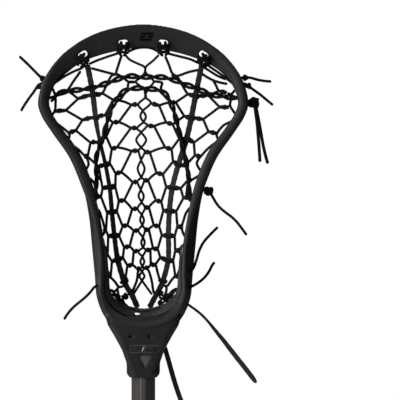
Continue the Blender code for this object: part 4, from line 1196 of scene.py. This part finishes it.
# Runs of the top string and of the bottom strings, then the bottom knots with their sizes
TOP_RUNS = [
    [(-84.0, 1031.6), (-72.0, 1041.0), (-61.5, 1049.0), (-55.6, 1050.4)],
    [(-83.0, 1030.4), (-73.5, 1036.9), (-64.0, 1041.9), (-57.6, 1044.6), (-54.4, 1047.4)],
    [(-50.4, 1048.6), (-43.0, 1051.8), (-33.0, 1055.4), (-22.4, 1059.0), (-18.6, 1061.0)],
    [(-14.6, 1059.8), (-7.0, 1063.0), (0.4, 1064.0), (7.6, 1063.2), (14.8, 1059.8)],
    [(18.6, 1061.0), (22.4, 1058.6), (33.0, 1055.8), (44.0, 1052.9), (51.4, 1049.4)],
    [(57.6, 1049.0), (64.0, 1044.6), (73.0, 1038.4), (82.0, 1031.4), (84.4, 1029.6)],
    [(55.0, 1046.4), (60.6, 1042.8), (69.0, 1037.6), (77.0, 1034.2)],
]
BOTTOM_RUNS = {
    -1: [[(-30.6, 838.9), (-27.0, 834.9), (-22.5, 830.2), (-19.0, 826.4), (-14.8, 822.6)],
         [(-31.6, 834.6), (-27.6, 832.8), (-24.0, 828.6), (-20.5, 824.4), (-17.0, 820.6)]],
    1: [[(30.6, 838.9), (27.4, 834.6), (23.0, 830.0), (18.6, 826.6), (13.6, 823.6)],
        [(31.6, 834.6), (27.6, 831.6), (24.0, 827.8), (20.4, 823.6), (16.0, 821.2)]],
}
BOTTOM_KNOTS = {-1: [(-17.6, 832.0, 2.6), (-24.4, 832.0, 2.0), (-19.8, 826.4, 1.8)],
                1: [(15.2, 835.4, 2.4), (20.6, 829.6, 2.3), (15.6, 826.4, 1.8)]}

# The leg of a top knot, from behind the scoop through the slot to its inner edge: so far across,
# up and back
HITCH_LEG = [(2.3, 4.6, 9.0), (2.5, 5.4, 4.5), (2.7, 4.6, -0.4), (2.9, 2.0, -2.4),
             (3.0, -2.0, -2.2), (2.4, -5.6, 0.6), (0.8, -6.6, 2.4)]
HITCH_LOOPS = [(2.4, 4.6), (-0.2, 5.2), (-3.6, 4.8)]  # height and half width


def knot(skins, centre, size, cord, turn, tilt=0.0):
    """A string tied in an overhand knot, its run a trefoil drawn tight round the centre."""
    t = np.linspace(0.12, 2 * math.pi - 0.02, 90)
    x = np.sin(t) + 2 * np.sin(2 * t)
    y = np.cos(t) - 2 * np.cos(2 * t)
    z = -np.sin(3 * t) * 1.25
    shape = np.stack([x, z, y], axis=1) / 3.0 * size
    spin = np.array(Matrix.Rotation(turn, 3, "Y") @ Matrix.Rotation(tilt, 3, "X"))
    braided(skins, shape @ spin.T + centre, cord)


def add_rim_knots():
    """Knots outside the rim, each on the string that comes through it. Large ones are doubled."""
    for name, hole, centre, size, cord, tall in RIM_KNOTS:
        skins = Skins()
        hole, centre = np.array(hole), np.array(centre)
        braided(skins, [hole + (centre - hole) * share for share in (0, 0.35, 0.7, 1)], cord)
        knot(skins, centre, size, cord, turn=centre[2] * 0.7)
        if tall:
            knot(skins, centre, size * 0.86, cord, turn=centre[2] * 0.7 + 1.9, tilt=1.1)
            wrap_round(skins, centre, size * 0.9, cord * 0.95, tall)
        piece = skins.made(name + "_tie", BLACK_CORD)
        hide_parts(name)


def wrap_round(skins, centre, size, cord, tall):
    """A string wound three times round a large knot."""
    angle = np.linspace(0, 3.2 * 2 * math.pi, 84)
    path = np.stack([size * np.cos(angle), size * 0.9 * np.sin(angle),
                     (angle / angle[-1] - 0.5) * size * 1.7 * tall], axis=1) + centre
    braided(skins, path, cord)


def add_top_knots():
    """Strings looped through the scoop's slots and hitched under its inner lip."""
    for index, (x, z, lean) in enumerate(TOP_KNOTS):
        skins = Skins()
        cos, sin = math.cos(math.radians(-lean)), math.sin(math.radians(-lean))
        right, up = np.array([cos, 0, sin]), np.array([-sin, 0, cos])
        centre = np.array([x, -9.5, z])
        for side in (-1, 1):
            path = [centre + right * side * wide + up * high + np.array([0, deep, 0])
                    for wide, high, deep in HITCH_LEG]
            braided(skins, path, 1.35, lay=4.0, step=0.35)
        angle = np.linspace(0.4, 2 * math.pi + 0.2, 30)
        for height, reach in HITCH_LOOPS:
            loop = (centre + up * height + np.array([0, -0.8, 0])
                    + np.outer(np.cos(angle) * reach, right)
                    + np.outer(np.sin(angle) * 3.4, [0, 1, 0])
                    + np.outer(np.sin(2 * angle) * 0.5, up))
            braided(skins, loop, 1.25, lay=4.0, step=0.35)
        piece = skins.made(f"top_knot_{index + 1}_hitch", BLACK_CORD)
        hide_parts(f"top_knot_{index + 1}")


def add_end_strings():
    """The top string along the scoop and the bottom strings at the throat."""
    skins = Skins()
    for points in TOP_RUNS:
        path = [(x, -3.2 - 1.5 * math.sin(math.pi * i / (len(points) - 1)), z)
                for i, (x, z) in enumerate(points)]
        rope(skins, path, 1.35, ply=3, lay=4.8, step=0.4)
    piece = skins.made("top_string_cord", BLACK_CORD)
    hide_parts("top_string")
    for side, node in ((-1, "bottom_string_left"), (1, "bottom_string_right")):
        skins = Skins()
        for points in BOTTOM_RUNS[side]:
            rope(skins, along(on_net(smooth_rows(points, 6), 2.0), 0.4), 1.2, ply=3, lay=4.6)
        for x, z, size in BOTTOM_KNOTS[side]:
            knot(skins, on_net([(x, z)], 2.6)[0], size, 1.15, turn=x, tilt=0.4)
        piece = skins.made(node + "_cord", BLACK_CORD)
        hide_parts(node)


def add_ball_stop():
    """The foam pad lying on the throat's flared inner wall."""
    rows, flares, _ = head_rows(8)
    rows, flares = rows[-PAD_ROWS:], flares[-PAD_ROWS:]
    stations = [(1, row, drop) for row, drop in zip(rows, flares)]
    stations += [(-1, row, drop) for _, row, drop in stations[-2::-1]]
    ramps = np.linspace(0, 1, len(stations))
    ends = np.sqrt(np.clip(1 - (1 - np.clip(np.minimum(ramps, 1 - ramps) / 0.03, 0, 1)) ** 2,
                           0.05, 1))
    rings = []
    for (side, row, drop), end in zip(stations, ends):
        outer, inner = row[[0, 1]], row[[2, 3]]
        inward = unit(inner - outer)
        shares = np.linspace(0, 1, 9)
        skin = [(share, 0.2) for share in shares]
        skin += [(share, PAD_THICK * end * (1 - abs(2 * share - 1) ** 6) ** 0.5 + 0.3)
                 for share in shares[::-1]]
        ring = []
        for share, out in skin:
            x, z = inner - inward * drop * (1 - share) * PAD_FLARE + inward * out
            ring.append((side * x, PAD_FRONT + PAD_DEPTH * share, z))
        rings.append(ring)
    skins = Skins()
    skins.add(np.array(rings) * MM)
    pad = skins.made("ball_stop_foam_pad", FOAM, sharp=50)
    hole = bmesh.new()
    prism(hole, DRAIN_HOLE, -0.03, 0.03, Vector((0, 1, 0)))
    cutter = helper(hole, "pad_hole")
    bpy.context.scene.collection.objects.link(cutter)
    boolean = pad.modifiers.new("hole", "BOOLEAN")
    boolean.object, boolean.solver = cutter, "EXACT"
    cut_mesh = mesh_of(pad)
    pad.modifiers.clear()
    pad.data = cut_mesh
    bpy.data.objects.remove(cutter)
    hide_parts("ball_stop_pad")


# ---- generic marks and the throat's window

def slab(x, z, wide, high, lean):
    """A leaning bar as an outline: its lower left corner, width, height and lean."""
    return [(x, z), (x + wide, z), (x + wide + lean, z + high), (x + lean, z + high)]


MARK_STEP, MARK_SINK = 0.8, 0.15
# Plain slanting bars stand where the real stick is printed, except two short light lines on the
# throat
# plate, which are painted glints: name, bars, how far they stand out, and their paint
HEAD_MARKS = [
    ("scoop_mark", [slab(-2.4, 1075.4, 11.6, 2.2, 0.9), slab(-3.4, 1072.6, 5.0, 2.2, 0.9),
                    slab(-4.2, 1069.8, 12.0, 2.2, 0.9), slab(4.0, 1072.6, 5.0, 2.2, 0.9)],
     0.10, DARK_MARK),
    ("throat_plate", [slab(-12.6, 780.9, 27.4, 7.3, 0.0)], 0.06, GREY_MARK),
    ("throat_plate_bars", [slab(-11.6 + 2.1 * i, 782.0, 0.8, 5.0, 1.2)
                           for i in range(12) if i not in (5, 6)], 0.12, DARK_MARK),
    # Lighter lines along the plate's top and bottom, and two short ones that are painted glints
    ("throat_plate_lines_and_glints", [slab(-12.4, 787.5, 26.8, 0.35, 0.0), slab(-12.2, 780.8, 20.0, 0.3, 0.0),
                            slab(-10.6, 784.4, 3.4, 0.4, 0.0), slab(4.6, 785.4, 5.4, 0.4, 0.0)],
     0.12, WINDOW_GREY),
    ("throat_plate_light_bar", [slab(-1.4, 782.3, 0.7, 4.4, 2.0)], 0.16, LIGHT_MARK),
]
SHAFT_MARK = [slab(-9.6, 677.6, 14.0, 6.2, 1.2), slab(-9.9, 670.8, 6.4, 6.2, 1.0),
              slab(-9.9, 664.2, 17.6, 6.0, 1.0), slab(0.2, 671.4, 7.8, 5.4, 1.0)]
WINDOW_FLOOR = (-0.0148, -0.0138)  # its front and its back


def laid_on(surface, x, z, out):
    """The point in front of x and z on a surface seen from the open side, raised by out."""
    place, normal, _, _ = surface.ray_cast(Vector((x, -0.1, z)), Vector((0, 1, 0)))
    return np.array(place + normal * out)


def print_on(name, target, outlines, out, paint):
    """Thin raised shapes that follow the target's front; outlines in millimetres of x and z."""
    surface = BVHTree.FromObject(target, bpy.context.evaluated_depsgraph_get())
    skins = Skins()
    for (ax, az), (bx, _), (cx, _), (dx, dz) in outlines:
        rows = []
        for t in np.linspace(0, 1, max(3, round(abs(dz - az) / MARK_STEP))):
            z = (az + (dz - az) * t) * MM
            left, right = (ax + (dx - ax) * t) * MM, (bx + (cx - bx) * t) * MM
            xs = np.linspace(left, right, max(3, round((right - left) / MM / MARK_STEP)))
            top = [laid_on(surface, x, z, out * MM) for x in xs]
            low = [laid_on(surface, x, z, -MARK_SINK * MM) for x in xs[::-1]]
            rows.append(top + low)
        count = max(len(row) for row in rows)
        skins.add(np.array([row for row in rows if len(row) == count]))
    piece = skins.made(name, paint, sharp=30)


def add_marks(head):
    """The marks on the head, with no lettering, and the floor of the throat's window."""
    for name, bars, out, paint in HEAD_MARKS:
        print_on(name, head, bars, out, paint)
    window = Skins()
    window.add(np.array([[(x, y, z) for x, z in THROAT_WINDOW] for y in WINDOW_FLOOR]))
    window.made("throat_window_floor", WINDOW_GREY, sharp=30)


# ---- shaft, cap and screw

SHAFT_EASE = 0.0007  # how far its corners are cut
CAP_HALF_WIDTH, CAP_SKIRT = 0.0155, 0.003
CAP_FLOOR, CAP_HEIGHT, CAP_PLUG_HEIGHT = 0.006, 0.034, 0.028
# The cap's outside as heights and how far in: its foot, the grooves up the skirt and its lip
CAP_FOOT = [(0.0, 0.0052), (0.0003, 0.0030), (0.0012, 0.0012), (0.0030, 0.0003), (0.0045, 0.0)]
CAP_GROOVES = [0.008, 0.012, 0.016, 0.020, 0.024]
CAP_GROOVE = [(0.0, 0.0), (0.0005, 0.0007), (0.0015, 0.0007), (0.0020, 0.0)]
CAP_LIP = [(0.0290, 0.0), (0.0300, -0.0001), (0.0320, -0.0001), (0.0332, 0.0004),
           (0.0339, 0.0014)]
# The screw's head from its recess outwards: depth from the socket's back, and radius
SCREW_PROFILE = [(0.0018, 0.0010), (0.0009, 0.0014), (0.0006, 0.0026), (0.0007, 0.0033),
                 (0.0011, 0.0039), (0.0022, 0.0040), (0.0022, 0.0018)]
SCREW_ROOT, SCREW_TURNS, SCREW_HALF_PITCH = 0.00145, 8, 0.0005


def add_shaft():
    """The octagon with eased corners, its flutes and its open ends, and the mark on its front."""
    skins = Skins()
    heights = sorted(set(SHAFT_STATIONS + list(np.linspace(0.0065, 0.803, 60))))
    rings = []
    for grow, order in ((0.0, 1), (-SHAFT_WALL, -1)):
        for z in heights[::order]:
            scale = float(np.interp(z, SHAFT_STATIONS, SHAFT_SCALES))
            flute = float(np.interp(z, SHAFT_STATIONS, SHAFT_FLUTES))
            rings.append(shaft_ring(z, scale, grow, flute, ease=SHAFT_EASE))
    skins.add(np.array(rings), closed=True)
    piece = skins.made("shaft_tube", METAL, sharp=26)
    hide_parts("shaft")
    print_on("shaft_mark", piece, SHAFT_MARK, 0.06, MARK)


def add_end_cap():
    """A moulded rubber cap: a domed foot, ribs round the skirt, a rolled lip and the plug."""
    scale = SHAFT_SCALES[0]
    bore = -SHAFT_WALL - GAP
    rings = []
    profile = list(CAP_FOOT)
    for base in CAP_GROOVES:
        profile += [(base + up, inset) for up, inset in CAP_GROOVE]
    profile += CAP_LIP
    for z, inset in profile:
        ring = []
        for x, y, _ in shaft_ring(z, scale, ease=0.0016):
            reach = math.hypot(x, y)
            half = 0.5 * CAP_HALF_WIDTH + 0.5 * (reach + CAP_SKIRT) - inset
            ring.append((x / reach * half, y / reach * half, z))
        rings.append(ring)
    for z, grow in ((CAP_HEIGHT, GAP), (CAP_FLOOR, GAP), (CAP_FLOOR, bore),
                    (CAP_PLUG_HEIGHT - 0.0008, bore), (CAP_PLUG_HEIGHT, bore - 0.0008)):
        rings.append(shaft_ring(z, scale, grow, 1.0, ease=SHAFT_EASE))
    skins = Skins()
    skins.add(np.array(rings))
    piece = skins.made("end_cap_rubber", RUBBER, body="end_cap", sharp=40)
    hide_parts("end_cap")


def add_screw():
    """A pan head with a cross recess, and its threaded shank."""
    back = THROAT[2][4]
    angles = np.linspace(0, 2 * math.pi, 48, endpoint=False)
    rows = [(back - depth, radius) for depth, radius in SCREW_PROFILE]
    for i in range(2 * SCREW_TURNS):
        y = back - 0.0026 - i * SCREW_HALF_PITCH
        rows.append((y, SCREW_SHANK if i % 2 else SCREW_ROOT))
    rings = []
    for index, (y, r) in enumerate(rows):
        cross = 1.0
        if index in (0, 1):
            cross = 0.75 + 0.75 * np.abs(np.cos(2 * angles)) ** 3
        rings.append(np.stack([r * cross * np.cos(angles), np.full_like(angles, y),
                               SCREW_Z + r * cross * np.sin(angles)], axis=1))
    skins = Skins()
    skins.add(np.array(rings))
    piece = skins.made("head_screw_pan", STEEL, sharp=30)
    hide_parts("head_screw")


add_studio()
for tail_name, (tail_width, tail_route) in TAILS.items():
    add_tail(tail_name, tail_width, tail_route)
add_marks(add_head_frame())
add_ball_stop()
add_shaft()
add_end_cap()
add_screw()
add_rim_knots()
add_top_knots()
add_end_strings()
for which, hand in ((-1, "left"), (1, "right")):
    add_inner_laces(which, "lace_inner_" + hand)
for which, hand in ((-1, "left"), (1, "right")):
    add_outer_laces(which, "lace_outer_" + hand)
add_centre_pair()
add_sidewall_strings()
add_runners()
add_shooters()
